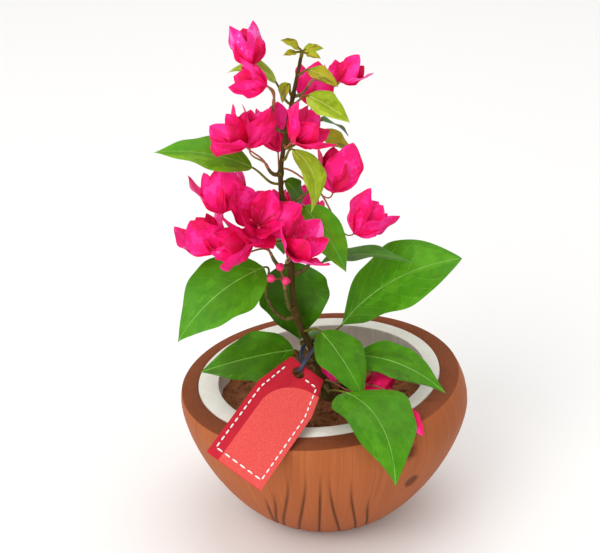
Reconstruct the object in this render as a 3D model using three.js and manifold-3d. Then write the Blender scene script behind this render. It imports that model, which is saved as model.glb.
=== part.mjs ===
// A young bougainvillea in its pot. The pot is the lower half of a coconut, lined with its white
// flesh and filled with soil. A leaning stem bears ovate leaves on short stalks, and clusters of
// three papery bracts. A card tag hangs from the stem on a wire loop and leans on the rim.
// Millimetres and degrees, +Z up. The origin is the centre of the pot's flat underside, and the
// front is -Y. A heading turns anticlockwise from +X seen from above, and a rise is above level.
import * as THREE from "three";
import { mergeVertices } from "three/addons/utils/BufferGeometryUtils.js";
import Module from "manifold-3d";

const wasm = await Module();
wasm.setup();

// Driving dimensions
const GAP = 0.35; // what touching pieces keep between them
const TOLERANCE = 0.02; // how far a surface may move where its faces are merged
const nut = {
  radius: 81, // at its widest
  footRadius: 30, // of the flat underside
  widestAt: 71,
  belly: 1.46, // how square the wall below the widest line is
  dome: 50, // how far the wall's curve would go on above that line
  cutHeight: 82.5, // where the cut crosses the axis
  cutTilt: 4.8, // the cut rises to the right
};
const eyes = { radius: 4.4, depth: 1.2, at: [[-56, 74], [-51, 50], [-61.5, 65]] }; // heading, height
const hollow = { radius: 69.5, footRadius: 18, floor: 12, dome: 78, centre: [-2.4, 4] }; // off centre
const flesh = { radius: 59.5, footRadius: 10, floor: 22, dome: 66, centre: [-0.6, 4] }; // the lining's inside
const soil = {
  // heights of the mound, and the radius out to which each holds
  top: 69.5,
  topRadius: 11,
  shoulder: 67.5,
  shoulderRadius: 25,
  edge: 67,
  edgeRadius: 45,
};
const stem = {
  // from below the soil to the growing tip
  route: [
    [7, 0, 60], [3, 0, 70], [-7, 0, 100], [-16, 0, 122], [-19, 0, 154],
    [-23, 0, 188], [-24, 0, 208], [-19, 0, 242], [-13, 0, 273],
  ],
  footRadius: 2.5,
  tipRadius: 0.9,
  flare: 2.4, // extra radius where it enters the soil
  flareHeight: 5,
};
const tag = {
  top: [-12.7, -38, 104.4], // on the card's middle line, level with the hole
  heading: -120, // from there down to the far edge
  rise: -17.6,
  roll: -32.9,
  length: 80,
  width: 34.5,
  headWidth: 22,
  headLength: 24.5, // along which the sides draw in
  holeRadius: 3.6,
  holeInset: 5.8, // from the head's edge to the hole's centre
  holeAside: -2.4,
  thickness: 0.8,
};
const loop = { wireRadius: 1.1, bend: 4.3, stemHeight: 103 };
const leafShape = { widthShare: 0.54, swell: 0.7, taper: 1.2, arch: 0.1, fold: 0.16, rows: 8 };
const bractShape = { widthShare: 0.76, swell: 0.62, taper: 0.85, arch: -0.1, fold: 0.16, rows: 5 };
const bladeThickness = { share: 1 / 45, least: 0.7 }; // at the midrib, as a share of the length
const twig = {
  leafRadius: 0.75,
  bloomRadius: 0.65,
  hubRadius: 1.0, // of the short fork that several stalks leave
  hubLength: 2.2,
  sunk: 0.6, // how far the fork goes past the stalks' start
  bend: 0.4, // share of a stalk's length over which it turns at either end
  bite: 1.5, // how far a stalk runs into what it bears
};
const tubes = { below: 1.5, share: 0.45, footRadius: 0.8, flare: 0.7, bractFoot: 0.5 }; // a bloom's heart
const budRadius = 2.3;
const seed = 41;

// Boughs: the height on the stem where each starts, its tip, and its radius there
const boughs = {
  low_front: { from: 78, tip: [3, -28, 89], radius: 1.0 },
  low_right: { from: 86, tip: [9, -6, 99], radius: 1.1 },
  low_left: { from: 94, tip: [-14.5, -5, 99], radius: 1.0 },
  left_low: { from: 121, tip: [-32, -4, 135], radius: 1.0 },
  bud: { from: 127, tip: [-22, -9, 143], radius: 0.8 },
  right_mid: { from: 147, tip: [-8, 2, 153], radius: 1.0 },
  left_mid: { from: 152, tip: [-29, -6, 161], radius: 1.0 },
  right_upper: { from: 189, tip: [-9, 2, 196], radius: 0.9 },
  left_upper: { from: 207, tip: [-31, -8, 214], radius: 0.9 },
  top_left: { from: 231, tip: [-27.5, -6, 249], radius: 0.7 },
  top_right: { from: 251, tip: [-9, 3, 256], radius: 0.7 },
  back_low: { from: 84, tip: [-12, 18, 92], radius: 1.2 },
  back_mid: { from: 151, tip: [-18, 16, 157], radius: 1.1 },
  back_high: { from: 224, tip: [-9, 14, 231], radius: 0.9 },
};

// Masses of foliage: each grows on from a bough's tip, or from the stem at a height, and bears
// leaves and blooms. A foot is where a leaf's blade or a bloom's bracts begin.
const masses = {
  low_front_leaf: {
    on: "low_front",
    leaves: [
      { foot: [11, -40, 95], heading: -64, rise: -25, length: 64, arch: 0.17, roll: -5, width: 44, sweep: -0.05 },
    ],
  },
  low_right_leaf: {
    on: "low_right",
    leaves: [{ foot: [16, -10, 101.5], heading: -27, rise: -10, length: 57, roll: 25, width: 23, sweep: -0.05 }],
  },
  low_left_leaf: {
    on: "low_left",
    leaves: [{ foot: [-17, -8, 104], heading: -165, rise: -7, length: 54, roll: -72, width: 28, sweep: 0.05 }],
  },
  low_centre_leaf: {
    on: 112,
    leaves: [{ foot: [-2.2, -13, 118.1], heading: -48, rise: -39, length: 45, roll: 14, width: 27 }],
  },
  low_blooms: {
    on: 81,
    tint: "crimson",
    blooms: [{ foot: [20.5, -22, 85.5], heading: 1, rise: 8, length: 22, spread: 27, roll: 20 }],
    bracts: [{ foot: [39.5, -45, 91.7], heading: -64, rise: -13, length: 28, width: 11, arch: 0 }],
  },
  low_bract: {
    on: 96,
    bracts: [{ foot: [-0.5, -8, 101.5], heading: -47, rise: -56, length: 17, width: 10, roll: 45 }],
  },
  right_big_leaf: {
    on: 105,
    leaves: [
      {
        foot: [10, 16, 107], heading: -5, rise: 34, length: 80, roll: 35, width: 43,
        sweep: -0.05, swell: 1.05, taper: 0.9,
      },
    ],
  },
  left_big_leaf: {
    on: "left_low",
    leaves: [{ foot: [-33.3, -8, 155.1], heading: -155, rise: -34, length: 62, roll: -40, width: 37, sweep: 0.06 }],
  },
  buds: {
    on: "bud",
    buds: [[-29.3, -20, 154], [-24.4, -20, 160.9], [-21.2, -20, 152.5]],
  },
  dark_leaf: {
    on: 144,
    leaves: [
      {
        foot: [-19.5, 13, 148.2], heading: -28, rise: -82, length: 48, roll: 57, width: 40,
        arch: 0.03, fold: 0.06,
      },
    ],
  },
  right_narrow_leaf: {
    on: "right_mid",
    leaves: [{ foot: [-2, 6, 151], heading: -4, rise: 1, length: 52, roll: -5, width: 22 }],
  },
  left_blooms: {
    on: "left_mid",
    blooms: [
      { foot: [-55.6, -6, 185.8], heading: 104, rise: 59, length: 29, spread: 32, roll: 0 },
      { foot: [-58.9, -14, 165.8], heading: 152, rise: 54, length: 28, spread: 32, roll: 60 },
      { foot: [-36.8, -8, 179.6], heading: -67, rise: 50, length: 27, spread: 54, roll: 30 },
      { foot: [-38.8, -20, 173.9], heading: -159, rise: 10, length: 26, spread: 32, roll: 0 },
    ],
  },
  centre_bloom: {
    on: 158,
    blooms: [{ foot: [-18.5, -26, 171.4], heading: -16, rise: 50, length: 26, spread: 48, roll: 30 }],
  },
  right_leaf: {
    on: 184,
    leaves: [{ foot: [-12, -1.5, 188.5], heading: -17, rise: -56, length: 44, roll: 35, width: 22 }],
  },
  right_bloom: {
    on: "right_upper",
    blooms: [{ foot: [15.7, 2, 170.3], heading: 30, rise: 39, length: 27, spread: 27, roll: 0 }],
  },
  upper_right_bloom: {
    on: 210,
    blooms: [{ foot: [4.1, 2, 194.6], heading: 71, rise: 58, length: 30, spread: 24, roll: 44 }],
  },
  light_leaf: {
    on: 215,
    tint: "youngLeaf",
    leaves: [{ foot: [-17.4, -6, 223.4], heading: -41, rise: -70, length: 36, roll: 11, width: 15, sweep: -0.16 }],
  },
  stem_leaf: {
    on: 199,
    leaves: [{ foot: [-22, 4, 201], heading: 47, rise: -54, length: 23, roll: 75 }],
  },
  left_upper_leaf: {
    on: 201,
    leaves: [{ foot: [-39, -4, 212], heading: -178, rise: 10, length: 53, roll: -25, width: 24 }],
  },
  left_upper_blooms: {
    on: "left_upper",
    blooms: [
      { foot: [-41.9, -16, 228.5], heading: -175, rise: 46, length: 24, spread: 40, roll: 0 },
      { foot: [-40.5, -12, 225.8], heading: 73, rise: 61, length: 25, spread: 28, roll: 60 },
    ],
  },
  centre_front_bloom: {
    on: 224,
    blooms: [{ foot: [-17.9, -16, 231.3], heading: 3, rise: 42, length: 25, spread: 42, roll: 20 }],
  },
  centre_back_bloom: {
    on: 203,
    blooms: [{ foot: [-25.5, 10, 215.1], heading: 94, rise: 59, length: 28, spread: 24, roll: 0 }],
  },
  back_right_bloom: {
    on: 233,
    blooms: [{ foot: [-7.3, 16.5, 238.5], heading: 68, rise: 62, length: 26, spread: 25, roll: 15 }],
  },
  small_right_leaf: {
    on: 221,
    leaves: [{ foot: [-4, 10, 225.5], heading: 13, rise: -31, length: 22, roll: 35 }],
  },
  top_left_leaf: {
    on: 246,
    tint: "youngLeaf",
    leaves: [{ foot: [-26, 8, 255], heading: -175, rise: 14, length: 27, arch: 0.25, roll: -15 }],
  },
  left_olive_leaf: {
    on: 251,
    tint: "youngLeaf",
    leaves: [{ foot: [-19.5, -1, 258.3], heading: 128, rise: -66, length: 14, roll: -82, width: 9 }],
  },
  top_left_blooms: {
    on: "top_left",
    blooms: [
      { foot: [-39.1, -4, 268.9], heading: 113, rise: 58, length: 23.5, spread: 17, roll: 40 },
      { foot: [-30.7, -12, 260.8], heading: 171, rise: 18, length: 20.5, spread: 25, roll: 0 },
    ],
  },
  top_right_leaf: {
    on: 247,
    tint: "youngLeaf",
    leaves: [{ foot: [-10, -5, 253], heading: -24, rise: -25, length: 27, roll: 35 }],
  },
  top_right_blooms: {
    on: "top_right",
    blooms: [
      { foot: [7.8, 4, 257.2], heading: 18, rise: 39, length: 18, spread: 24, roll: 30 },
      { foot: [6.4, 8, 254.6], heading: 118, rise: 57, length: 13, spread: 16, roll: 0 },
    ],
  },
  olive_leaf: {
    on: 263,
    tint: "youngLeaf",
    leaves: [{ foot: [-9.5, -4, 267], heading: -27, rise: -22, length: 19, roll: 20 }],
  },
  tip_leaves: {
    on: "stem",
    tint: "youngLeaf",
    leaves: [
      { foot: [-14, 0, 277], heading: -163, rise: 28, length: 12, roll: -35 },
      { foot: [-12, 0, 276], heading: 11, rise: 2, length: 11, roll: 35 },
      { foot: [-10.5, -1.5, 275], heading: -30, rise: -10, length: 9, roll: 30 },
      { foot: [-15.5, -1.5, 275.5], heading: -152, rise: -4, length: 8, roll: -30 },
    ],
  },
};

// The back of the crown: leaves and blooms fanned round each back bough's tip by rule, with the
// blooms between the leaves and smaller leaves towards the top
const backSprays = {
  back_low: {
    facing: 90, leafFacing: 52, leafLength: 34, leaves: 3, fan: 32, leafRise: -18,
    blooms: 1, bloomRise: 60,
  },
  back_mid: {
    facing: 95, leafFacing: 95, leafLength: 40, leaves: 3, fan: 50, leafRise: -30,
    blooms: 2, bloomRise: 32,
  },
  back_high: {
    facing: 70, leafFacing: 66, leafLength: 23, leaves: 2, fan: 60, leafRise: -30,
    blooms: 0, bloomRise: 20,
  },
};
const backLeaf = { footShare: 0.3, footRise: -5, leastLength: 0.9 }; // footShare is of the leaf's length
const backBloom = { above: 9, footReach: 15, footRise: 48, length: 22, spread: 34 }; // above the bough's foot
const chance = { heading: 12, leafRise: -8, bloomRise: 10, length: 0.2, roll: 120 }; // each one's whole range

const colours = {
  husk: [0x9a5a35, 0.75], flesh: [0xe2ded2, 0.6], soil: [0x5a3620, 0.95],
  bark: [0x54461c, 0.8], twig: [0x6a7a2c, 0.7], chip: [0x1c1208, 0.8], leaf: [0x3f8a12, 0.5],
  youngLeaf: [0x90a820, 0.5], bract: [0xf0186c, 0.55], crimson: [0xc81440, 0.55],
  card: [0xd83a44, 0.6], wire: [0x2d3a58, 0.45],
};

const vec = (p) => new THREE.Vector3(...p);
const radians = THREE.MathUtils.degToRad;
const up = new THREE.Vector3(0, 0, 1);

// The same run of numbers from 0 to 1 every time
let drawn = seed;
function draw() {
  drawn = (drawn * 1664525 + 1013904223) % 4294967296;
  return drawn / 4294967296;
}

// A closed geometry as a solid that can be joined and cut
function solid(geometry) {
  const bare = geometry.clone();
  for (const name of ["normal", "uv"]) bare.deleteAttribute(name);
  const merged = mergeVertices(bare, 1e-4);
  return new wasm.Manifold(
    new wasm.Mesh({
      numProp: 3,
      vertProperties: merged.attributes.position.array,
      triVerts: new Uint32Array(merged.index.array),
    }),
  );
}

function mesh(name, body, colour) {
  const { vertProperties, triVerts } = body.getMesh();
  const geometry = new THREE.BufferGeometry()
    .setAttribute("position", new THREE.BufferAttribute(new Float32Array(vertProperties), 3))
    .setIndex(new THREE.BufferAttribute(new Uint32Array(triVerts), 1));
  geometry.computeVertexNormals();
  const [tint, roughness] = colours[colour];
  const material = new THREE.MeshStandardMaterial({ color: tint, roughness, metalness: 0 });
  const made = new THREE.Mesh(geometry, material);
  made.name = name;
  return made;
}

function direction(heading, rise) {
  const [h, r] = [radians(heading), radians(rise)];
  return new THREE.Vector3(Math.cos(r) * Math.cos(h), Math.cos(r) * Math.sin(h), Math.sin(r));
}

// The way an upper face looks on something that runs along a line: up, turned about it by roll
function faceOf(along, roll) {
  const face = up.clone().addScaledVector(along, -along.z).normalize();
  return face.applyAxisAngle(along, radians(roll));
}

// A round limb that tapers along a curve. radiusAt gives its radius from 0 at the foot to 1.
function limb(curve, radiusAt, sides, steps) {
  const shape = new THREE.CylinderGeometry(1, 1, 1, sides, steps);
  const frames = curve.computeFrenetFrames(steps);
  const at = shape.attributes.position;
  const corner = new THREE.Vector3();
  for (let i = 0; i < at.count; i++) {
    corner.fromBufferAttribute(at, i);
    const step = Math.round((corner.y + 0.5) * steps);
    const radius = radiusAt(step / steps);
    const place = curve
      .getPointAt(step / steps)
      .addScaledVector(frames.normals[step], -corner.x * radius)
      .addScaledVector(frames.binormals[step], corner.z * radius);
    at.setXYZ(i, place.x, place.y, place.z);
  }
  return solid(shape);
}

// A thin blade: a four-sided ball drawn out to an ovate outline with a pointed tip, thickest along
// its midrib. It arches towards its upper face, its halves fold up from the midrib, and a swept
// one curves to a side.
function blade(leaf, shape) {
  const { length, swell, taper, arch, fold, sweep = 0 } = { ...shape, ...leaf };
  const width = leaf.width ?? length * shape.widthShare;
  const widest = swell / (swell + taper);
  const fullness = (s) => s ** swell * (1 - s) ** taper;
  const along = leaf.along ?? direction(leaf.heading, leaf.rise);
  const face = leaf.face ?? faceOf(along, leaf.roll ?? 0);
  const across = along.clone().cross(face);
  const thick = Math.max(bladeThickness.least, length * bladeThickness.share) / 2;
  const ball = new THREE.SphereGeometry(1, 4, shape.rows);
  const at = ball.attributes.position;
  for (let i = 0; i < at.count; i++) {
    const share = Math.acos(THREE.MathUtils.clamp(-at.getY(i), -1, 1)) / Math.PI;
    const ring = Math.hypot(at.getX(i), at.getZ(i));
    const [side, top] = ring < 1e-6 ? [0, 0] : [at.getX(i) / ring, at.getZ(i) / ring];
    const reach = ring < 1e-6 ? 0 : ((width / 2) * fullness(share)) / fullness(widest);
    const bow = 4 * share * (1 - share) * length;
    const place = vec(leaf.foot)
      .addScaledVector(along, share * length)
      .addScaledVector(across, side * reach + sweep * bow)
      .addScaledVector(face, arch * bow + fold * Math.abs(side) * reach)
      .addScaledVector(face, top * thick * Math.min(1, reach / 2));
    at.setXYZ(i, place.x, place.y, place.z);
  }
  return solid(ball);
}

// The way a blade sets off from its foot, which its arch and its sweep turn from its straight line
function setOff(leaf, shape) {
  const { arch, sweep = 0 } = { ...shape, ...leaf };
  const along = direction(leaf.heading, leaf.rise);
  const face = faceOf(along, leaf.roll ?? 0);
  const across = along.clone().cross(face);
  return along.addScaledVector(face, 4 * arch).addScaledVector(across, 4 * sweep).normalize();
}

// Three bracts round an axis, and the small flower tubes between them
function bloom(spec) {
  const axis = direction(spec.heading, spec.rise);
  const side = faceOf(axis, spec.roll);
  const foot = vec(spec.foot);
  const parts = [0, 120, 240].map((turn) => {
    const out = side.clone().applyAxisAngle(axis, radians(turn));
    const along = axis.clone().multiplyScalar(Math.cos(radians(spec.spread)));
    along.addScaledVector(out, Math.sin(radians(spec.spread)));
    const face = axis.clone().addScaledVector(along, -axis.dot(along)).normalize();
    const base = foot.clone().addScaledVector(out, tubes.bractFoot).toArray();
    return blade({ ...spec, foot: base, along, face }, bractShape);
  });
  const heart = new THREE.LineCurve3(
    foot.clone().addScaledVector(axis, -tubes.below),
    foot.clone().addScaledVector(axis, spec.length * tubes.share),
  );
  parts.push(limb(heart, (s) => tubes.footRadius + tubes.flare * s, 5, 1));
  return wasm.Manifold.union(parts);
}

const stemCurve = new THREE.CatmullRomCurve3(stem.route.map(vec), false, "centripetal");
const soilTop = soil.top + GAP;

function stemRadius(share) {
  const place = stemCurve.getPointAt(share);
  const body = THREE.MathUtils.lerp(stem.footRadius, stem.tipRadius, share ** 0.8);
  const above = Math.max(0, place.z - soilTop);
  return body + stem.flare * Math.exp(-above / stem.flareHeight);
}

// Where the stem is at a height, and the way it runs there
function stemAt(height) {
  let [low, high] = [0, 1];
  for (let i = 0; i < 30; i++) {
    const middle = (low + high) / 2;
    if (stemCurve.getPointAt(middle).z < height) low = middle;
    else high = middle;
  }
  return { place: stemCurve.getPointAt(low), run: stemCurve.getTangentAt(low), radius: stemRadius(low) };
}

// A point on the stem's bark, facing a target, with the way it looks out
function onStem(height, target) {
  const { place, run, radius } = stemAt(height);
  const out = target.clone().sub(place);
  out.addScaledVector(run, -out.dot(run)).normalize();
  return { start: place.addScaledVector(out, radius + GAP), out };
}

function boughCurve({ from, tip }) {
  const { start, out } = onStem(from, vec(tip));
  const reach = vec(tip).distanceTo(start);
  return new THREE.QuadraticBezierCurve3(start, start.clone().addScaledVector(out, reach * 0.45), vec(tip));
}

// A stalk that leaves one way and arrives another
function stalk(start, out, foot, arrive, radius) {
  const reach = start.distanceTo(foot) * twig.bend;
  const curve = new THREE.CubicBezierCurve3(
    start,
    start.clone().addScaledVector(out, reach),
    foot.clone().addScaledVector(arrive, -reach),
    foot.clone().addScaledVector(arrive, twig.bite),
  );
  return limb(curve, () => radius, 3, 4);
}

// One mass: a twig, and the leaves, blooms and buds that its stalks carry
function mass({ on, leaves = [], blooms = [], bracts = [], buds = [] }) {
  const items = [
    ...leaves.map((item) => ({ ...item, kind: "leaf" })),
    ...blooms.map((item) => ({ ...item, kind: "bloom" })),
    ...bracts.map((item) => ({ ...item, kind: "bract" })),
    ...buds.map((foot) => ({ foot, kind: "bud" })),
  ];
  const middle = new THREE.Vector3();
  for (const item of items) middle.addScaledVector(vec(item.foot), 1 / items.length);
  let [start, out] = [null, null];
  if (typeof on === "number") ({ start, out } = onStem(on, middle));
  else {
    const curve = on === "stem" ? stemCurve : boughCurve(boughs[on]);
    out = curve.getTangentAt(1);
    start = curve.getPointAt(1).addScaledVector(out, GAP);
  }
  const parts = [];
  let hub = start;
  if (items.length > 1) {
    hub = start.clone().addScaledVector(out, twig.hubLength);
    const fork = new THREE.LineCurve3(start, hub.clone().addScaledVector(out, twig.sunk));
    parts.push(limb(fork, () => twig.hubRadius, 5, 1));
  }
  for (const item of items) {
    const foot = vec(item.foot);
    const radius = item.kind === "leaf" ? twig.leafRadius : twig.bloomRadius;
    if (item.kind === "bud") {
      parts.push(stalk(hub, out, foot, foot.clone().sub(hub).normalize(), radius));
      parts.push(solid(new THREE.IcosahedronGeometry(budRadius, 1).translate(foot.x, foot.y, foot.z)));
    } else if (item.kind === "bloom") {
      parts.push(stalk(hub, out, foot, direction(item.heading, item.rise), radius), bloom(item));
    } else {
      const shape = item.kind === "leaf" ? leafShape : bractShape;
      parts.push(stalk(hub, out, foot, setOff(item, shape), radius), blade(item, shape));
    }
  }
  return wasm.Manifold.union(parts).simplify(TOLERANCE);
}

// The leaves, and the blooms, fanned round a back bough's tip
function backMasses(name, spray) {
  const tip = vec(boughs[name].tip);
  const fanned = (facing, count, make) =>
    Array.from({ length: count }, (_, i) =>
      make(facing + (i - (count - 1) / 2) * spray.fan + chance.heading * (draw() - 0.5)),
    );
  const footReach = spray.leafLength * backLeaf.footShare;
  const leaves = fanned(spray.leafFacing, spray.leaves, (heading) => ({
    foot: tip.clone().addScaledVector(direction(heading, backLeaf.footRise), footReach).toArray(),
    heading,
    rise: spray.leafRise + chance.leafRise * draw(),
    length: spray.leafLength * (backLeaf.leastLength + chance.length * draw()),
  }));
  const blooms = fanned(spray.facing, spray.blooms, (heading) => ({
    foot: tip.clone().addScaledVector(direction(heading, backBloom.footRise), backBloom.footReach).toArray(),
    heading,
    rise: spray.bloomRise + chance.bloomRise * draw(),
    length: backBloom.length,
    spread: backBloom.spread,
    roll: chance.roll * draw(),
  }));
  return { leaves, blooms };
}

// The share of the widest radius that the nut's wall has on its way up from the foot
const bulge = (share) => (1 - (1 - share) ** nut.belly) ** (1 / nut.belly);

const wallSteps = 8; // up the outside of the nut
const hiddenSteps = 5; // up a hollow

// The uncut nut's outline, and any hollow that follows it: a closed solid of revolution
function nutSolid({ radius, footRadius, dome, floor = 0, centre = [0, 0] }, inset = 0) {
  const [wide, foot, low] = [radius - inset, footRadius - inset, floor + inset];
  const profile = [[0, low]];
  const steps = floor ? hiddenSteps : wallSteps;
  for (let i = 0; i <= steps; i++) {
    const share = (i / steps) ** 1.4;
    profile.push([foot + (wide - foot) * bulge(share), THREE.MathUtils.lerp(low, nut.widestAt, share)]);
  }
  for (const angle of [7, 14, 24].map(radians)) {
    profile.push([wide * Math.cos(angle), nut.widestAt + dome * Math.sin(angle)]);
  }
  profile.push([0, nut.widestAt + dome]);
  return turned(profile, 32).translate(centre[0], centre[1], 0);
}

// A solid of revolution about the vertical axis, from pairs of radius and height
function turned(profile, sides) {
  const shape = new THREE.LatheGeometry(profile.map(([r, z]) => new THREE.Vector2(r, z)), sides);
  return solid(shape.rotateX(Math.PI / 2));
}

// One of the nut's three eyes: a shallow round dent, square to the wall
function eye([heading, height]) {
  const wallAt = (z) =>
    nut.footRadius + (nut.radius - nut.footRadius) * bulge(Math.min(1, z / nut.widestAt));
  const lean = Math.atan((wallAt(height + 1) - wallAt(height - 1)) / 2);
  const dent = new THREE.SphereGeometry(eyes.radius, 10, 6).scale(eyes.depth / eyes.radius, 1, 1);
  dent.rotateY(lean).translate(wallAt(height), 0, height);
  return solid(dent.rotateZ(radians(heading)));
}

function pot() {
  const size = 5 * nut.radius;
  const block = new THREE.BoxGeometry(size, size, size).translate(0, 0, size / 2);
  const above = solid(block.rotateY(-radians(nut.cutTilt)).translate(0, 0, nut.cutHeight));
  const dents = wasm.Manifold.union(eyes.at.map(eye));
  const shell = nutSolid(nut).subtract(nutSolid(hollow)).subtract(above).subtract(dents);
  const lining = nutSolid(hollow, GAP).subtract(nutSolid(flesh)).subtract(above);
  const mound = turned([
    [0, 0], [nut.radius, 0], [nut.radius, soil.edge], [soil.edgeRadius, soil.edge],
    [soil.shoulderRadius, soil.shoulder], [soil.topRadius, soil.top], [0, soil.top],
  ], 24);
  const fill = nutSolid(flesh, GAP).intersect(mound);
  return [
    mesh("pot_shell", shell.simplify(TOLERANCE), "husk"),
    mesh("pot_lining", lining.simplify(TOLERANCE), "flesh"),
    mesh("soil", fill.simplify(TOLERANCE), "soil"),
  ];
}

// A curved chip of dark bark that lies on the soil
function barkChip() {
  const route = [[9.5, 5.5, 70.3], [11, 4, 74.6], [15.5, 3, 74.8], [20.5, 1.5, 69.2]];
  const arc = new THREE.CatmullRomCurve3(route.map(vec));
  return mesh("bark_chip", limb(arc, (s) => 1.1 + 3.2 * s * (1 - s), 6, 8), "chip");
}

function trunk() {
  const whole = limb(stemCurve, stemRadius, 8, 30);
  const ground = new THREE.BoxGeometry(60, 60, 60).translate(0, 0, soilTop - 30);
  return mesh("stem", whole.subtract(solid(ground)), "bark");
}

function tagFrame() {
  const along = direction(tag.heading, tag.rise);
  const face = faceOf(along, tag.roll);
  const upward = along.clone().negate();
  const across = upward.clone().cross(face);
  const hole = vec(tag.top).addScaledVector(across, tag.holeAside);
  return { across, upward, face, hole };
}

function hangTag() {
  const [w, h, top] = [tag.width / 2, tag.headWidth / 2, tag.holeInset];
  const outline = new THREE.Shape([
    new THREE.Vector2(-h, top),
    new THREE.Vector2(-w, top - tag.headLength),
    new THREE.Vector2(-w, top - tag.length),
    new THREE.Vector2(w, top - tag.length),
    new THREE.Vector2(w, top - tag.headLength),
    new THREE.Vector2(h, top),
  ]);
  outline.holes.push(new THREE.Path().absarc(tag.holeAside, 0, tag.holeRadius, 0, 2 * Math.PI, true));
  const sheet = { depth: tag.thickness, bevelEnabled: false, curveSegments: 10 };
  const card = new THREE.ExtrudeGeometry(outline, sheet).translate(0, 0, -tag.thickness / 2);
  const { across, upward, face } = tagFrame();
  card.applyMatrix4(new THREE.Matrix4().makeBasis(across, upward, face));
  return mesh("hang_tag", solid(card.translate(...tag.top)), "card");
}

// A closed ring of wire. It bears on the back of the stem and on the upper edge of the tag's hole,
// and the card's tilt twists one end against the other.
function tagLoop() {
  const { place, run, radius } = stemAt(loop.stemHeight);
  const { face, hole } = tagFrame();
  const away = place.clone().sub(hole);
  const behind = away.clone().addScaledVector(run, -away.dot(run)).normalize();
  const beside = run.clone().cross(behind);
  const into = away.clone().addScaledVector(face, -away.dot(face)).normalize().negate();
  const front = beside.dot(face) > 0 ? face : face.clone().negate();
  const bend = (centre, outward, side, turn) =>
    centre
      .clone()
      .addScaledVector(outward, loop.bend * Math.cos(radians(turn)))
      .addScaledVector(side, loop.bend * Math.sin(radians(turn)));
  const stemSlack = loop.bend - loop.wireRadius - radius - GAP;
  const holeSlack = tag.holeRadius - loop.wireRadius - GAP;
  const outer = place.clone().addScaledVector(behind, -stemSlack);
  const inner = hole.clone().addScaledVector(into, -loop.bend - holeSlack);
  const route = [
    ...[90, 45, 0, -45, -90].map((turn) => bend(outer, behind, beside, turn)),
    ...[-90, -45, 0, 45, 90].map((turn) => bend(inner, into, front, turn)),
  ];
  const curve = new THREE.CatmullRomCurve3(route, true);
  return mesh("tag_loop", solid(new THREE.TubeGeometry(curve, 32, loop.wireRadius, 5, true)), "wire");
}

const plant = new THREE.Group();
plant.add(...pot(), barkChip(), trunk(), hangTag(), tagLoop());
for (const [name, bough] of Object.entries(boughs)) {
  const taper = (s) => THREE.MathUtils.lerp(bough.radius * 1.3, bough.radius, s);
  plant.add(mesh(`bough_${name}`, limb(boughCurve(bough), taper, 6, 6), "twig"));
}
for (const [name, spec] of Object.entries(masses)) {
  plant.add(mesh(name, mass(spec), spec.tint ?? (spec.leaves ? "leaf" : "bract")));
}
for (const [name, spray] of Object.entries(backSprays)) {
  const { leaves, blooms } = backMasses(name, spray);
  plant.add(mesh(`${name}_leaves`, mass({ on: name, leaves }), "leaf"));
  const on = boughs[name].from + backBloom.above;
  if (spray.blooms) plant.add(mesh(`${name}_blooms`, mass({ on, blooms }), "bract"));
}

export default plant;
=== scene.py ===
import math
import random

import bpy
from mathutils import Matrix, Vector, noise


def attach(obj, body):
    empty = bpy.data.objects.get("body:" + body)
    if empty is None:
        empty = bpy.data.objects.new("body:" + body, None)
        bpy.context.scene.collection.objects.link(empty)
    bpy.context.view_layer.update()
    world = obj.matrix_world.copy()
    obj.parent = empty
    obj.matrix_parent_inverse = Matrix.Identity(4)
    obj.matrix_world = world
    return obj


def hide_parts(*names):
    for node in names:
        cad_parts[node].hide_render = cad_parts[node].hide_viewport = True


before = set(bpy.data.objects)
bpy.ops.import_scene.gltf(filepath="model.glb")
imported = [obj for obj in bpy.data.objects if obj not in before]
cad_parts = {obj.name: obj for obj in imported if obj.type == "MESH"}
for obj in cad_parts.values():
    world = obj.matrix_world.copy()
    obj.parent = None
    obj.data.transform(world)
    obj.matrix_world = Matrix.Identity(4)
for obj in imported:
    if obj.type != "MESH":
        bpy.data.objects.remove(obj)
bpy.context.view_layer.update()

# The view: from the front and a little above the plant, as one looks down at a pot on a table.
# A long lens keeps strong perspective out of it.
view_centre = Vector((-0.0137, 0.0, 0.1455))
view_distance = 1.00833
view_rise = math.radians(26)
bpy.ops.object.camera_add(
    location=view_centre + view_distance * Vector((0, -math.cos(view_rise), math.sin(view_rise))),
    rotation=(math.radians(90) - view_rise, 0, 0),
)
camera = bpy.context.object
camera.data.lens = 110
camera.data.sensor_width = 36
bpy.context.scene.camera = camera
bpy.context.scene.view_settings.view_transform = "Standard"


# The studio: a pale floor under a pale sky, and three broad soft lamps. The brightest is at the
# front left, so the right of the pot falls into shade.
def colour(code):
    """The shader's red, green, blue and alpha for a colour in hexadecimal, as on a paint card."""
    parts = [(code >> shift & 255) / 255 for shift in (16, 8, 0)]
    return [c / 12.92 if c <= 0.04045 else ((c + 0.055) / 1.055) ** 2.4 for c in parts] + [1.0]


def finish(name, tint, roughness, **more):
    """A plain material, which the nodes that are added to it then shade."""
    material = bpy.data.materials.new(name)
    material.use_nodes = True
    shader = material.node_tree.nodes["Principled BSDF"].inputs
    shader["Base Color"].default_value = colour(tint)
    shader["Roughness"].default_value = roughness
    for setting, value in more.items():
        shader[setting.replace("_", " ")].default_value = value
    return material


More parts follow.
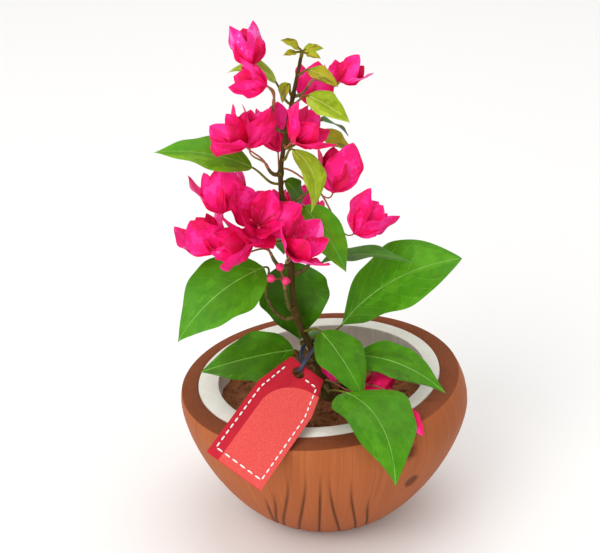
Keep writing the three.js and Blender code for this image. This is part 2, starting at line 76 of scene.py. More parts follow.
studio_width = 14
lamps = {
    "key": {"place": (-0.95, -1.25, 1.55), "size": 1.1, "power": 15},
    "fill": {"place": (-0.80, -1.50, 0.35), "size": 1.2, "power": 11},
    "top": {"place": (0.15, 0.55, 1.9), "size": 1.5, "power": 10},
}
bpy.ops.object.select_all(action="DESELECT")
bpy.ops.mesh.primitive_plane_add(size=studio_width)
floor = bpy.context.object
floor.name = "studio_floor"
floor.data.materials.append(finish("studio_paper", 0xF6F5F3, 0.9))
for name, lamp in lamps.items():
    bpy.ops.object.light_add(type="AREA", location=lamp["place"])
    light = bpy.context.object
    light.name = "lamp_" + name
    light.data.energy = lamp["power"]
    light.data.size = lamp["size"]
    light.rotation_euler = (view_centre - light.location).to_track_quat("-Z", "Y").to_euler()
sky = bpy.data.worlds.new("studio_sky")
sky.use_nodes = True
sky.node_tree.nodes["Background"].inputs["Color"].default_value = colour(0xFBFBFB)
sky.node_tree.nodes["Background"].inputs["Strength"].default_value = 0.75
bpy.context.scene.world = sky

# The pot's shell: the lower half of a big coconut with its husk sanded smooth, sawn off a little
# askew and hollowed. The wall is turned as one skin, creased at the foot where the husk dried and
# dented at the nut's three eyes.
contact_gap = 0.00035
nut = {"radius": 0.081, "foot": 0.030, "floor": 0.0, "dome": 0.050, "centre": (0, 0)}
hollow = {"radius": 0.0695, "foot": 0.018, "floor": 0.012, "dome": 0.078, "centre": (-0.0024, 0.004)}
nut_widest_at = 0.071
nut_belly = 1.46
cut_height = 0.0825
cut_tilt = math.radians(4.8)
cut_slope = Vector((-math.sin(cut_tilt), 0, math.cos(cut_tilt)))
rim_round = 0.0007
top_rings = 4
top_ring_pitch = 0.001
eye_radius = 0.0044
eye_depth = 0.0009
eyes = [(-56, 0.074), (-51, 0.050), (-61.5, 0.065)]  # heading and height
eye_edge = 0.0010  # over which the dent of an eye fades out
crease_width = 0.0007
crease_depth = 0.0006
wall_starts = 0.031  # the radius just past the flat foot
front_creases = [  # heading and height of the top, and how far it swings by the foot
    (-117, 0.047, -12), (-112, 0.052, -17), (-104.5, 0.068, -19), (-97.7, 0.070, -13),
    (-92, 0.071, -2), (-88.5, 0.067, 12), (-80, 0.064, 16), (-71, 0.048, 17),
]
crease_draws = random.Random(7)
creases = front_creases + [
    (-40 + 14 * step + crease_draws.uniform(-4, 4), crease_draws.uniform(0.035, 0.06),
     crease_draws.uniform(-10, 10))
    for step in range(19)
]


def bulge(share):
    return (1 - (1 - share) ** nut_belly) ** (1 / nut_belly)


def wall_profile(form, rings, inset=0.0):
    """Radius and height up a nut's wall, from its flat foot to a few rings above its widest."""
    wide = form["radius"] - inset
    narrow = form["foot"] - inset
    low = form["floor"] + inset
    points = []
    for ring in range(rings + 1):
        share = (ring / rings) ** 1.4
        points.append((narrow + (wide - narrow) * bulge(share), low + (nut_widest_at - low) * share))
    return points + [(wide, nut_widest_at + top_ring_pitch * (ring + 1)) for ring in range(top_rings)]


def turned(name, profile, centre, steps):
    """A skin spun round the pot's axis from pairs of radius and height."""
    bpy.ops.object.select_all(action="DESELECT")
    bpy.ops.mesh.primitive_plane_add(size=0.0002)
    skin = bpy.context.object
    skin.name = name
    bpy.ops.object.mode_set(mode="EDIT")
    bpy.ops.mesh.select_mode(type="VERT")
    bpy.ops.mesh.merge(type="CENTER")
    bpy.ops.transform.translate(value=(profile[0][0], 0, profile[0][1]))
    for (r0, z0), (r1, z1) in zip(profile, profile[1:]):
        bpy.ops.mesh.extrude_region_move(TRANSFORM_OT_translate={"value": (r1 - r0, 0, z1 - z0)})
    bpy.ops.mesh.select_all(action="SELECT")
    bpy.ops.mesh.spin(steps=steps, angle=2 * math.pi, center=(0, 0, 0), axis=(0, 0, 1))
    bpy.ops.mesh.select_all(action="SELECT")
    bpy.ops.mesh.remove_doubles(threshold=0.00002)
    bpy.ops.mesh.normals_make_consistent(inside=False)
    bpy.ops.transform.translate(value=(centre[0], centre[1], 0))
    bpy.ops.object.mode_set(mode="OBJECT")
    return skin


def sawn(skin, form, inset=0.0):
    """Lifts the skin's top rings to the saw cut, along the nut's upper curve."""
    wide = form["radius"] - inset
    for vertex in skin.data.vertices:
        level = (vertex.co.z - nut_widest_at) / top_ring_pitch
        if level > 0.5:
            turn = math.atan2(vertex.co.y - form["centre"][1], vertex.co.x - form["centre"][0])
            rise = 0.0
            for _ in range(8):
                across = form["centre"][0] + wide * math.cos(rise) * math.cos(turn)
                rise = math.asin((cut_height + across * math.tan(cut_tilt) - nut_widest_at) / form["dome"])
            rise *= level / top_rings
            vertex.co = (
                form["centre"][0] + wide * math.cos(rise) * math.cos(turn),
                form["centre"][1] + wide * math.cos(rise) * math.sin(turn),
                nut_widest_at + form["dome"] * math.sin(rise),
            )


same_level = 1e-5  # how near a point lies to a cut or a foot to count as on it


def on_the_cut(place):
    return abs((place - Vector((0, 0, cut_height))).dot(cut_slope)) < same_level


def walled(outer, inner, name):
    """A wall between two skins, bridged along the saw cut, with the cut's edges eased."""
    bpy.ops.object.select_all(action="DESELECT")
    inner.select_set(True)
    bpy.context.view_layer.objects.active = inner
    bpy.ops.object.mode_set(mode="EDIT")
    bpy.ops.mesh.select_all(action="SELECT")
    bpy.ops.mesh.flip_normals()
    bpy.ops.object.mode_set(mode="OBJECT")
    outer.select_set(True)
    bpy.context.view_layer.objects.active = outer
    bpy.ops.object.join()
    wall = bpy.context.object
    wall.name = name
    bpy.ops.object.mode_set(mode="EDIT")
    bpy.ops.mesh.select_mode(type="EDGE")
    bpy.ops.mesh.select_all(action="DESELECT")
    bpy.ops.object.mode_set(mode="OBJECT")
    for edge in wall.data.edges:
        edge.select = all(on_the_cut(wall.data.vertices[index].co) for index in edge.vertices)
    bpy.ops.object.mode_set(mode="EDIT")
    bpy.ops.mesh.bridge_edge_loops()
    bpy.ops.mesh.select_all(action="DESELECT")
    bpy.ops.object.mode_set(mode="OBJECT")
    for edge in wall.data.edges:
        ends = [wall.data.vertices[index].co for index in edge.vertices]
        run = (ends[0] - ends[1]).normalized()
        middle = (ends[0] + ends[1]) / 2
        runs_round = abs(run.dot(Vector((middle.x, middle.y, 0)).normalized())) < 0.6
        edge.select = all(on_the_cut(end) for end in ends) and runs_round
    bpy.ops.object.mode_set(mode="EDIT")
    bpy.ops.mesh.bevel(offset=rim_round, segments=2, affect="EDGES")
    bpy.ops.object.mode_set(mode="OBJECT")
    return wall


def footed(skin, low):
    """Closes a skin's round foot with one face."""
    bpy.ops.object.mode_set(mode="EDIT")
    bpy.ops.mesh.select_mode(type="EDGE")
    bpy.ops.mesh.select_all(action="DESELECT")
    bpy.ops.object.mode_set(mode="OBJECT")
    for edge in skin.data.edges:
        edge.select = all(abs(skin.data.vertices[index].co.z - low) < same_level for index in edge.vertices)
    bpy.ops.object.mode_set(mode="EDIT")
    bpy.ops.mesh.edge_face_add()
    bpy.ops.object.mode_set(mode="OBJECT")


def node(material, kind, inputs=(), **settings):
    """One shader node. An input is a number, a colour or another node's output."""
    made = material.node_tree.nodes.new("ShaderNode" + kind)
    for setting, value in settings.items():
        setattr(made, setting, value)
    for socket, value in dict(inputs).items():
        if isinstance(value, bpy.types.NodeSocket):
            material.node_tree.links.new(value, made.inputs[socket])
        else:
            made.inputs[socket].default_value = value
    return made


def feed(material, socket, output):
    material.node_tree.links.new(output, material.node_tree.nodes["Principled BSDF"].inputs[socket])


def grain(material, scale, stretch=(1, 1, 1), detail=4.0, rough=0.55):
    """Noise over the piece. Scale is in lumps to the metre, and stretch squeezes it along an axis."""
    place = node(material, "TexCoord").outputs["Object"]
    spread = node(material, "Mapping", {"Vector": place, "Scale": stretch}).outputs["Vector"]
    lumps = node(material, "TexNoise", {"Vector": spread, "Scale": scale, "Detail": detail,
                                        "Roughness": rough})
    return lumps.outputs["Fac"]


def fibres(material, round_the_nut, along, detail=5.0):
    """Noise drawn out into fibres that run up and down the nut and meet at its foot."""
    place = node(material, "TexCoord").outputs["Object"]
    flat = node(material, "VectorMath", {0: place, 1: (1, 1, 0)}, operation="MULTIPLY").outputs[0]
    ring = node(material, "VectorMath", {0: flat}, operation="NORMALIZE").outputs[0]
    turns = node(material, "VectorMath", {0: ring, 1: (round_the_nut,) * 3}, operation="MULTIPLY")
    heights = node(material, "VectorMath", {0: place, 1: (0, 0, along)}, operation="MULTIPLY")
    both = node(material, "VectorMath", {0: turns.outputs[0], 1: heights.outputs[0]}, operation="ADD")
    streaks = node(material, "TexNoise", {"Vector": both.outputs[0], "Scale": 1.0, "Detail": detail})
    return streaks.outputs["Fac"]


def shades(material, factor, stops):
    """Colours along a scale from 0 to 1, from pairs of a place and a colour."""
    ramp = node(material, "ValToRGB", {"Fac": factor})
    ramp.color_ramp.elements[0].position = stops[0][0]
    ramp.color_ramp.elements[0].color = colour(stops[0][1])
    ramp.color_ramp.elements[1].position = stops[-1][0]
    ramp.color_ramp.elements[1].color = colour(stops[-1][1])
    for place, code in stops[1:-1]:
        ramp.color_ramp.elements.new(place).color = colour(code)
    return ramp.outputs["Color"]


def mixed(material, factor, under, over, kind="MIX"):
    return node(material, "MixRGB", {"Fac": factor, "Color1": under, "Color2": over},
                blend_type=kind).outputs["Color"]


def painted(material, factor, stops):
    """Colours the piece by a pattern on it."""
    feed(material, "Base Color", shades(material, factor, stops))


def glazed(material, strength, under, factor, stops):
    """A second pattern of colours, laid thinly over the first."""
    return mixed(material, strength, under, shades(material, factor, stops))


def relief(material, height, depth, strength=1.0):
    bump = node(material, "Bump", {"Height": height, "Distance": depth, "Strength": strength})
    feed(material, "Normal", bump.outputs["Normal"])


def mottled(name, tint, roughness, lumps, stops, bump=None, detail=4.0, **more):
    """A finish in close shades of one colour. Bump is the depth and the strength of its relief."""
    made = finish(name, tint, roughness, **more)
    tone = grain(made, lumps, detail=detail)
    painted(made, tone, stops)
    if bump:
        relief(made, tone, *bump)
    return made


def mark(material, name):
    return node(material, "Attribute", attribute_name=name).outputs["Fac"]


def facing_outwards():
    """Turns every face of the active piece outwards."""
    bpy.ops.object.mode_set(mode="EDIT")
    bpy.ops.mesh.select_all(action="SELECT")
    bpy.ops.mesh.normals_make_consistent(inside=False)
    bpy.ops.object.mode_set(mode="OBJECT")


def settled(piece, slot, *stands_for):
    """Gives a piece its body and hides the solids that it stands for. The slot is not used."""
    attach(piece, "root")
    if stands_for:
        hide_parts(*stands_for)


shell_rings = 62
hollow_rings = 12
shell_steps = 600
outer_skin = turned("pot_shell_outer", wall_profile(nut, shell_rings), nut["centre"], shell_steps)
sawn(outer_skin, nut)
footed(outer_skin, nut["floor"])
inner_skin = turned("pot_shell_inner", wall_profile(hollow, hollow_rings), hollow["centre"], shell_steps)
sawn(inner_skin, hollow)
footed(inner_skin, hollow["floor"])
shell = walled(outer_skin, inner_skin, "pot_shell_turned")
crease_marks = []
eye_marks = []
looks_out = [vertex.normal.dot(vertex.co * Vector((1, 1, 0))) > 0 for vertex in shell.data.vertices]
for vertex, is_outside in zip(shell.data.vertices, looks_out):
    place = vertex.co
    heading = math.degrees(math.atan2(place.y, place.x))
    reach = math.hypot(place.x, place.y)
    crease = 0.0
    eye = 0.0
    is_wall = reach > wall_starts and is_outside
    if is_wall and place.z < nut_widest_at:
        for top_heading, top, swing in creases:
            if place.z < top:
                drop = 1 - place.z / top
                aside = (heading - top_heading - swing * drop * drop + 180) % 360 - 180
                near = math.radians(aside) * reach / crease_width
                crease = max(crease, math.exp(-near * near) * min(1, 3 * drop))
    if is_wall:
        for eye_heading, height in eyes:
            share = min(1, height / nut_widest_at)
            wall = nut["foot"] + (nut["radius"] - nut["foot"]) * bulge(share)
            turn = math.radians(eye_heading)
            off = (place - Vector((wall * math.cos(turn), wall * math.sin(turn), height))).length
            eye = max(eye, 1 - max(0.0, min(1.0, (off - eye_radius + eye_edge / 2) / eye_edge)))
    crease_marks.append(crease)
    eye_marks.append(eye)
    if crease or eye:
        inward = Vector((-place.x, -place.y, 0)).normalized()
        vertex.co += inward * (crease_depth * crease + eye_depth * eye)
# The crease mark both dents the wall and paints shade into the creases; the eye mark dents it and darkens
# the eyes' own colour.
for name, values in (("crease", crease_marks), ("eye", eye_marks)):
    shell.data.attributes.new(name, "FLOAT", "POINT").data.foreach_set("value", values)

husk = finish("husk_sanded", 0xA65A30, 0.6, Specular_IOR_Level=0.15)
strands = fibres(husk, 46, 9)
fine_strands = fibres(husk, 190, 30, 3)
weathering = grain(husk, 28, detail=3)
husk_colour = shades(husk, strands, [(0.3, 0x985028), (0.5, 0xA65A30), (0.72, 0xB06338)])
husk_colour = glazed(husk, 0.22, husk_colour, fine_strands, [(0.35, 0x8C4A24), (0.65, 0xB66E40)])
husk_colour = glazed(husk, 0.25, husk_colour, weathering, [(0.35, 0x9A522A), (0.7, 0xAC6034)])
husk_colour = mixed(husk, mark(husk, "eye"), husk_colour, colour(0x6C3A20))
# The creases are painted near black-brown: painted shade in them, over their real dent.
husk_colour = mixed(husk, mark(husk, "crease"), husk_colour, colour(0x482410))
feed(husk, "Base Color", husk_colour)
relief(husk, fine_strands, 0.0003, 0.5)
husk_cut = finish("husk_sawn_edge", 0x824426, 0.75, Specular_IOR_Level=0.15)
cut_fibres = grain(husk_cut, 900, detail=5)
cut_cloud = grain(husk_cut, 60, detail=3)
cut_colour = shades(husk_cut, cut_fibres, [(0.35, 0x743C1E), (0.55, 0x824426), (0.75, 0x924F30)])
cut_colour = glazed(husk_cut, 0.35, cut_colour, cut_cloud, [(0.35, 0x763E20), (0.7, 0x8A4A2C)])
feed(husk_cut, "Base Color", cut_colour)
relief(husk_cut, cut_fibres, 0.0003, 0.6)
shell.data.materials.append(husk)
shell.data.materials.append(husk_cut)
for face in shell.data.polygons:
    face.material_index = 1 if face.normal.dot(cut_slope) > 0.8 and face.center.z > 0.06 else 0
bpy.ops.object.shade_smooth_by_angle(angle=math.radians(35))
settled(shell, "husk", "pot_shell")

# The lining: the nut's white flesh, dried on its shell and scooped smooth. It fills the hollow to
# the saw cut, thicker on the left, where the hollow runs off the nut's centre.
flesh = {"radius": 0.0595, "foot": 0.010, "floor": 0.022, "dome": 0.066, "centre": (-0.0006, 0.004)}
lining_steps = 240
lining_rings = 24
outer_skin = turned(
    "lining_outer", wall_profile(hollow, hollow_rings, contact_gap), hollow["centre"], lining_steps
)
sawn(outer_skin, hollow, contact_gap)
footed(outer_skin, hollow["floor"] + contact_gap)
inner_skin = turned("lining_inner", wall_profile(flesh, lining_rings), flesh["centre"], lining_steps)
sawn(inner_skin, flesh)
footed(inner_skin, flesh["floor"])
lining = walled(outer_skin, inner_skin, "pot_flesh_lining")
white_flesh = finish("nut_flesh_cut", 0xE6E2D6, 0.55, Subsurface_Weight=0.05)
mottle = grain(white_flesh, 90, detail=5)
specks = grain(white_flesh, 700, detail=3)
flesh_colour = shades(white_flesh, mottle, [(0.3, 0xDAD5C7), (0.55, 0xE4E0D4), (0.8, 0xECE9DF)])
flesh_colour = glazed(white_flesh, 0.25, flesh_colour, specks, [(0.3, 0xD0CABB), (0.6, 0xEAE7DD)])
feed(white_flesh, "Base Color", flesh_colour)
relief(white_flesh, specks, 0.0002, 0.4)
# The scooped inner wall takes a greyer copy of the flesh: painted shade inside the bowl, with the streaks
# of the scoop marks on it.
shaded_flesh = finish("nut_flesh_scooped_shade", 0xDCD6CC, 0.65, Specular_IOR_Level=0.2)
scoops = fibres(shaded_flesh, 30, 60)
painted(shaded_flesh, scoops, [(0.3, 0xD0CAC0), (0.55, 0xDCD6CC), (0.8, 0xE8E3DA)])
relief(shaded_flesh, scoops, 0.0004, 0.4)
lining.data.materials.append(white_flesh)
lining.data.materials.append(shaded_flesh)
# Faces of the inner wall, which look inwards, take the painted shade.
for face in lining.data.polygons:
    outward = (face.center - Vector((*flesh["centre"], 0))) * Vector((1, 1, 0))
    face.material_index = 1 if face.normal.dot(outward) < 0 and face.normal.dot(cut_slope) < 0.6 else 0
bpy.ops.object.shade_smooth_by_angle(angle=math.radians(35))
settled(lining, "flesh", "pot_lining")

# The soil: dark brown potting soil heaped towards the middle of the bowl, crumbly, with small
# clods lying loose on it.
soil_edge = 0.067
soil_top = 0.0695
mound = [(0.011, soil_top), (0.025, 0.0675), (0.045, soil_edge), (nut["radius"], soil_edge)]
soil_rings = 46
soil_wall_rings = 14
soil_steps = 180
crumb_height = 0.0011
hollow_depth = 0.0012
soil_settles = 0.0006
clod_count = 620
clod_sizes = (0.0006, 0.0021)
clod_reach = 0.0545
clod_lift = 0.0002


def mound_height(reach):
    """The height of the heap at a distance from the pot's axis."""
    for (r0, z0), (r1, z1) in zip([(0.0, soil_top)] + mound, mound):
        if reach <= r1:
            return z0 + (z1 - z0) * (reach - r0) / (r1 - r0)
    return soil_edge


wall_below = [point for point in wall_profile(flesh, soil_wall_rings, contact_gap)
              if point[1] < soil_edge]
edge_reach = wall_below[-1][0] + 0.0003
soil_profile = wall_below + [
    (edge_reach * (1 - ring / soil_rings) + 0.00004, mound_height(edge_reach * (1 - ring / soil_rings)))
    for ring in range(soil_rings + 1)
]
soil = turned("potting_soil", soil_profile, flesh["centre"], soil_steps)
bpy.ops.object.mode_set(mode="EDIT")
bpy.ops.mesh.select_all(action="SELECT")
bpy.ops.mesh.remove_doubles(threshold=0.0001)
bpy.ops.object.mode_set(mode="OBJECT")
footed(soil, flesh["floor"] + contact_gap)
for vertex in soil.data.vertices:
    reach = math.hypot(vertex.co.x - flesh["centre"][0], vertex.co.y - flesh["centre"][1])
    if vertex.co.z > soil_edge - 0.001:
        rough = noise.fractal(vertex.co * 120, 0.9, 2.1, 4) * crumb_height
        rough += noise.noise(vertex.co * 45) * hollow_depth
        vertex.co.z += rough - soil_settles
soil_finish = finish("potting_soil_damp", 0x5A3620, 0.95, Specular_IOR_Level=0.15)
patches = grain(soil_finish, 110, detail=6, rough=0.65)
crumbs = grain(soil_finish, 900, detail=4, rough=0.7)
soil_browns = [(0.3, 0x663C22), (0.48, 0x865030), (0.62, 0x985D3A), (0.8, 0xA87048)]
soil_colour = shades(soil_finish, patches, soil_browns)
soil_colour = glazed(soil_finish, 0.35, soil_colour, crumbs, [(0.35, 0x4E2E18), (0.65, 0xB07850)])
feed(soil_finish, "Base Color", soil_colour)
relief(soil_finish, crumbs, 0.0008, 0.8)
soil.data.materials.append(soil_finish)
bpy.context.view_layer.objects.active = soil
facing_outwards()
bpy.ops.object.shade_smooth_by_angle(angle=math.radians(60))
settled(soil, "soil", "soil")


def bunch():
    """An empty heap of shapes that are to be joined into one piece."""
    return {"points": [], "faces": [], "finishes": []}


def add_shape(heap, points, faces, finishes=0):
    """Finishes is the number of one finish for the whole shape, or a list with one for each face."""
    start = len(heap["points"])
    heap["points"] += points
    heap["faces"] += [[start + corner for corner in face] for face in faces]
    heap["finishes"] += finishes if isinstance(finishes, list) else [finishes] * len(faces)


def joined(name, heap, finishes, smooth_to=50):
    """One object from a heap of shapes, with smooth shading across shallow edges."""
    mesh = bpy.data.meshes.new(name)
    mesh.from_pydata([tuple(point) for point in heap["points"]], [], heap["faces"])
    for material in finishes:
        mesh.materials.append(material)
    mesh.polygons.foreach_set("material_index", heap["finishes"])
    piece = bpy.data.objects.new(name, mesh)
    bpy.context.scene.collection.objects.link(piece)
    bpy.ops.object.select_all(action="DESELECT")
    piece.select_set(True)
    bpy.context.view_layer.objects.active = piece
    bpy.ops.object.shade_smooth_by_angle(angle=math.radians(smooth_to))
    return piece


bpy.ops.object.select_all(action="DESELECT")
bpy.ops.mesh.primitive_cube_add(size=2)
bpy.ops.object.mode_set(mode="EDIT")
bpy.ops.mesh.subdivide(number_cuts=1)
bpy.ops.transform.tosphere(value=1.0)
bpy.ops.object.mode_set(mode="OBJECT")
lump = bpy.context.object
lump_points = [vertex.co.normalized() for vertex in lump.data.vertices]
lump_faces = [list(face.vertices) for face in lump.data.polygons]
bpy.data.objects.remove(lump)
clods = bunch()
clod_draws = random.Random(19)
for _ in range(clod_count):
    reach = clod_reach * math.sqrt(clod_draws.random())
    turn = clod_draws.uniform(0, 2 * math.pi)
    size = clod_draws.uniform(*clod_sizes) * clod_draws.uniform(0.5, 1)
    centre = Vector((*flesh["centre"], mound_height(reach) + clod_lift))
    centre += Vector((math.cos(turn), math.sin(turn), 0)) * reach
    squash = Vector((1, clod_draws.uniform(0.6, 1), clod_draws.uniform(0.45, 0.75))) * size
    spin = Matrix.Rotation(clod_draws.uniform(0, math.pi), 3, "Z")
    corners = [
        centre + spin @ (point * squash * clod_draws.uniform(0.8, 1.15)) for point in lump_points
    ]
    add_shape(clods, corners, lump_faces)
clod_piece = joined("soil_clods", clods, [soil_finish], 40)
settled(clod_piece, "soil")


# The chip: a nearly black curl, thickest in its middle, that lies loose on the soil beside the
# foot of the stem, on its two ends. It is painted shade: a dark body put where the low leaves
# shade the soil.
def steady_frames(points):
    """The way a line of points runs, and two ways across it that don't twist."""
    runs = []
    for index in range(len(points)):
        before = points[max(0, index - 1)]
        after = points[min(len(points) - 1, index + 1)]
        runs.append((after - before).normalized())
    aside = runs[0].orthogonal().normalized()
    frames = []
    for run in runs:
        aside = (aside - run * aside.dot(run)).normalized()
        frames.append((run, aside, run.cross(aside)))
    return frames


def limb(points, radius_at, sides, roughen=None):
    """A closed round limb along a line of points. radius_at gives its radius from 0 to 1."""
    rings = []
    frames = steady_frames(points)
    for index, (point, (_, aside, across)) in enumerate(zip(points, frames)):
        share = index / (len(points) - 1)
        radius = radius_at(share)
        for side in range(sides):
            turn = 2 * math.pi * side / sides
            grown = radius * (1 + roughen(point, turn) if roughen else 1)
            rings.append(point + (aside * math.cos(turn) + across * math.sin(turn)) * grown)
    faces = []
    for ring in range(len(points) - 1):
        for side in range(sides):
            low = ring * sides + side
            beside = ring * sides + (side + 1) % sides
            faces.append([low, beside, beside + sides, low + sides])
    faces.append(list(range(sides))[::-1])
    faces.append([len(rings) - sides + side for side in range(sides)])
    return rings, faces


def smooth_route(corners, steps, closed=False):
    """Points evenly spaced along the smooth curve through some corners."""
    count = len(corners)
    spans = count if closed else count - 1
    fine = []
    for span in range(spans):
        if closed:
            p0, p1, p2, p3 = (corners[(span + offset) % count] for offset in (-1, 0, 1, 2))
        else:
            p1, p2 = corners[span], corners[span + 1]
            p0 = corners[span - 1] if span else p1 * 2 - p2
            p3 = corners[span + 2] if span + 2 < count else p2 * 2 - p1
        d0, d1, d2 = ((a - b).length ** 0.5 for a, b in ((p1, p0), (p2, p1), (p3, p2)))
        t1 = ((p1 - p0) / d0 - (p2 - p0) / (d0 + d1) + (p2 - p1) / d1) * d1
        t2 = ((p2 - p1) / d1 - (p3 - p1) / (d1 + d2) + (p3 - p2) / d2) * d1
        for step in range(60):
            t = step / 60
            bend = (p2 * 3 - p1 * 3 - t1 * 2 - t2) * t * t
            swing = (p1 * 2 - p2 * 2 + t1 + t2) * t * t * t
            fine.append(p1 + t1 * t + bend + swing)
    fine.append(corners[0] if closed else corners[-1])
    return evenly(fine, steps)


def evenly(fine, steps):
    """The same line as evenly spaced points."""
    lengths = [0.0]
    for before, after in zip(fine, fine[1:]):
        lengths.append(lengths[-1] + (after - before).length)
    spaced = []
    index = 0
    for step in range(steps + 1):
        wanted = lengths[-1] * step / steps
        while index < len(fine) - 2 and lengths[index + 1] < wanted:
            index += 1
        share = (wanted - lengths[index]) / max(1e-9, lengths[index + 1] - lengths[index])
        spaced.append(fine[index].lerp(fine[index + 1], min(1.0, share)))
    return spaced


chip_route = [
    Vector((0.0095, 0.0055, 0.0703)), Vector((0.011, 0.004, 0.0746)), Vector((0.0155, 0.003, 0.0748)),
    Vector((0.0205, 0.0015, 0.0692)),
]
chip_steps = 40
chip_sides = 20
chip_end_radius = 0.0011
chip_swell = 0.0032


def chip_roughen(point, turn):
    return 0.16 * math.sin(5 * turn) + 0.12 * noise.noise(point * 700)


chip = bunch()
add_shape(chip, *limb(
    smooth_route(chip_route, chip_steps), lambda s: chip_end_radius + chip_swell * s * (1 - s),
    chip_sides, chip_roughen))
# Nearly black: painted shade on the soil under the low leaves.
shade_chip_finish = finish("shade_chip_dark", 0x1E150C, 0.8)
chip_grain = grain(shade_chip_finish, 500, (0.4, 1, 1))
painted(shade_chip_finish, chip_grain, [(0.35, 0x120C06), (0.6, 0x22170C), (0.8, 0x3A2A18)])
relief(shade_chip_finish, chip_grain, 0.0004, 0.7)
chip_piece = joined("shade_chip_curl", chip, [shade_chip_finish])
settled(chip_piece, "chip", "bark_chip")

# The stem: one thin leaning trunk with dark olive-brown bark, flared where it enters the soil. It
# is ridged lengthways and swells a little at each node where a bough leaves it.
stem_route = [
    Vector(point) for point in (
        (0.007, 0, 0.060), (0.003, 0, 0.070), (-0.007, 0, 0.100), (-0.016, 0, 0.122), (-0.019, 0, 0.154),
        (-0.023, 0, 0.188), (-0.024, 0, 0.208), (-0.019, 0, 0.242), (-0.013, 0, 0.273),
    )
]
stem_foot_radius = 0.0025
stem_tip_radius = 0.0009
stem_flare = 0.0024
stem_flare_height = 0.005
stem_knuckle = 0.0006
stem_knuckle_spread = 0.0022
stem_sides = 20
stem_foot = soil_top + contact_gap
boughs = {  # the height on the stem where each starts, its tip, and its radius there
    "low_front": (0.078, (0.003, -0.028, 0.089), 0.0010),
    "low_right": (0.086, (0.009, -0.006, 0.099), 0.0011),
    "low_left": (0.094, (-0.0145, -0.005, 0.099), 0.0010),
    "left_low": (0.121, (-0.032, -0.004, 0.135), 0.0010),
    "bud": (0.127, (-0.022, -0.009, 0.143), 0.0008),
    "right_mid": (0.147, (-0.008, 0.002, 0.153), 0.0010),
    "left_mid": (0.152, (-0.029, -0.006, 0.161), 0.0010),
    "right_upper": (0.189, (-0.009, 0.002, 0.196), 0.0009),
    "left_upper": (0.207, (-0.031, -0.008, 0.214), 0.0009),
    "top_left": (0.231, (-0.0275, -0.006, 0.2490), 0.0007),
    "top_right": (0.251, (-0.009, 0.003, 0.256), 0.0007),
    "back_low": (0.084, (-0.012, 0.018, 0.092), 0.0012),
    "back_mid": (0.151, (-0.018, 0.016, 0.157), 0.0011),
    "back_high": (0.224, (-0.009, 0.014, 0.231), 0.0009),
}
stem_steps = 320
stem_line = smooth_route(stem_route, stem_steps)


def stem_radius(share):
    place = stem_line[round(share * stem_steps)]
    body = stem_foot_radius + (stem_tip_radius - stem_foot_radius) * share ** 0.8
    return body + stem_flare * math.exp(-max(0.0, place.z - stem_foot) / stem_flare_height)


def stem_at(height):
    """Where the stem is at a height, the way it runs there, and its radius."""
    index = next(i for i, point in enumerate(stem_line) if point.z >= height)
    before, after = stem_line[index - 1], stem_line[index]
    place = before.lerp(after, (height - before.z) / (after.z - before.z))
    return place, (after - before).normalized(), stem_radius(index / stem_steps)


def on_stem(height, target, sunk=0.0):
    """A point on the bark that faces a target, and the way it looks out. Sunk goes below the bark."""
    place, run, radius = stem_at(height)
    out = target - place
    out = (out - run * out.dot(run)).normalized()
    return place + out * (radius + contact_gap - sunk), out


def bark_ridges(point, turn):
    swelling = sum(
        math.exp(-(((point.z - start) / stem_knuckle_spread) ** 2)) for start, _, _ in boughs.values())
    ridge = 0.05 * math.sin(7 * turn + 60 * point.z) + 0.05 * math.sin(3 * turn + 190 * point.z)
    rough = 0.10 * noise.noise(Vector((math.cos(turn), math.sin(turn), point.z * 260)))
    middle_radius = (stem_foot_radius + stem_tip_radius) / 2
    return ridge + rough + min(1.0, swelling) * stem_knuckle / middle_radius


stem_shape = bunch()
stem_above = [index for index, point in enumerate(stem_line) if point.z > stem_foot]
stem_part = stem_line[stem_above[0]:]
flat_foot = stem_line[stem_above[0] - 1].lerp(
    stem_part[0],
    (stem_foot - stem_line[stem_above[0] - 1].z) / (stem_part[0].z - stem_line[stem_above[0] - 1].z),
)
stem_part = [flat_foot] + stem_part
first_share = (stem_above[0] - 1) / stem_steps
ring_points, ring_faces = limb(
    stem_part, lambda s: stem_radius(first_share + s * (1 - first_share)), stem_sides, bark_ridges
)
for corner in ring_points[:stem_sides]:
    corner.z = stem_foot
add_shape(stem_shape, ring_points, ring_faces)
bark = finish("stem_bark", 0x46300C, 0.8, Specular_IOR_Level=0.2)
bark_lines = grain(bark, 420, (1, 1, 0.12), 5)
bark_patches = grain(bark, 70, (1, 1, 0.5), 3)
bark_colour = shades(bark, bark_lines, [(0.3, 0x2A1A06), (0.5, 0x46300C), (0.7, 0x614C16)])
bark_colour = glazed(bark, 0.4, bark_colour, bark_patches, [(0.35, 0x38280A), (0.65, 0x5C5018)])
feed(bark, "Base Color", bark_colour)
relief(bark, bark_lines, 0.0003, 0.8)
stem_piece = joined("stem_bark", stem_shape, [bark])
settled(stem_piece, "bark", "stem")

# The boughs: short green-brown side shoots, each one tapering limb that leaves the stem at a node
# and carries a leaf or a cluster of bracts at its tip.
bough_root_sink = 0.0012
bough_pull = 0.45  # how far a bough keeps the way it left the stem, as a share of its reach
bough_steps = 22
bough_sides = 12


def bent(start, middle, end, steps):
    """Points along a curve that is pulled towards one middle point."""
    shares = [step / steps for step in range(steps + 1)]
    return [start * (1 - t) ** 2 + middle * (2 * t * (1 - t)) + end * t * t for t in shares]


def bough_line(name):
    start_height, tip, _ = boughs[name]
    tip = Vector(tip)
    start, out = on_stem(start_height, tip)
    rooted = start - out * bough_root_sink
    return [rooted] + bent(start, start + out * (tip - start).length * bough_pull, tip, bough_steps)


def shoot_bark(point, turn):
    return 0.05 * math.sin(4 * turn + 300 * point.x) + 0.12 * noise.noise(point * 900)


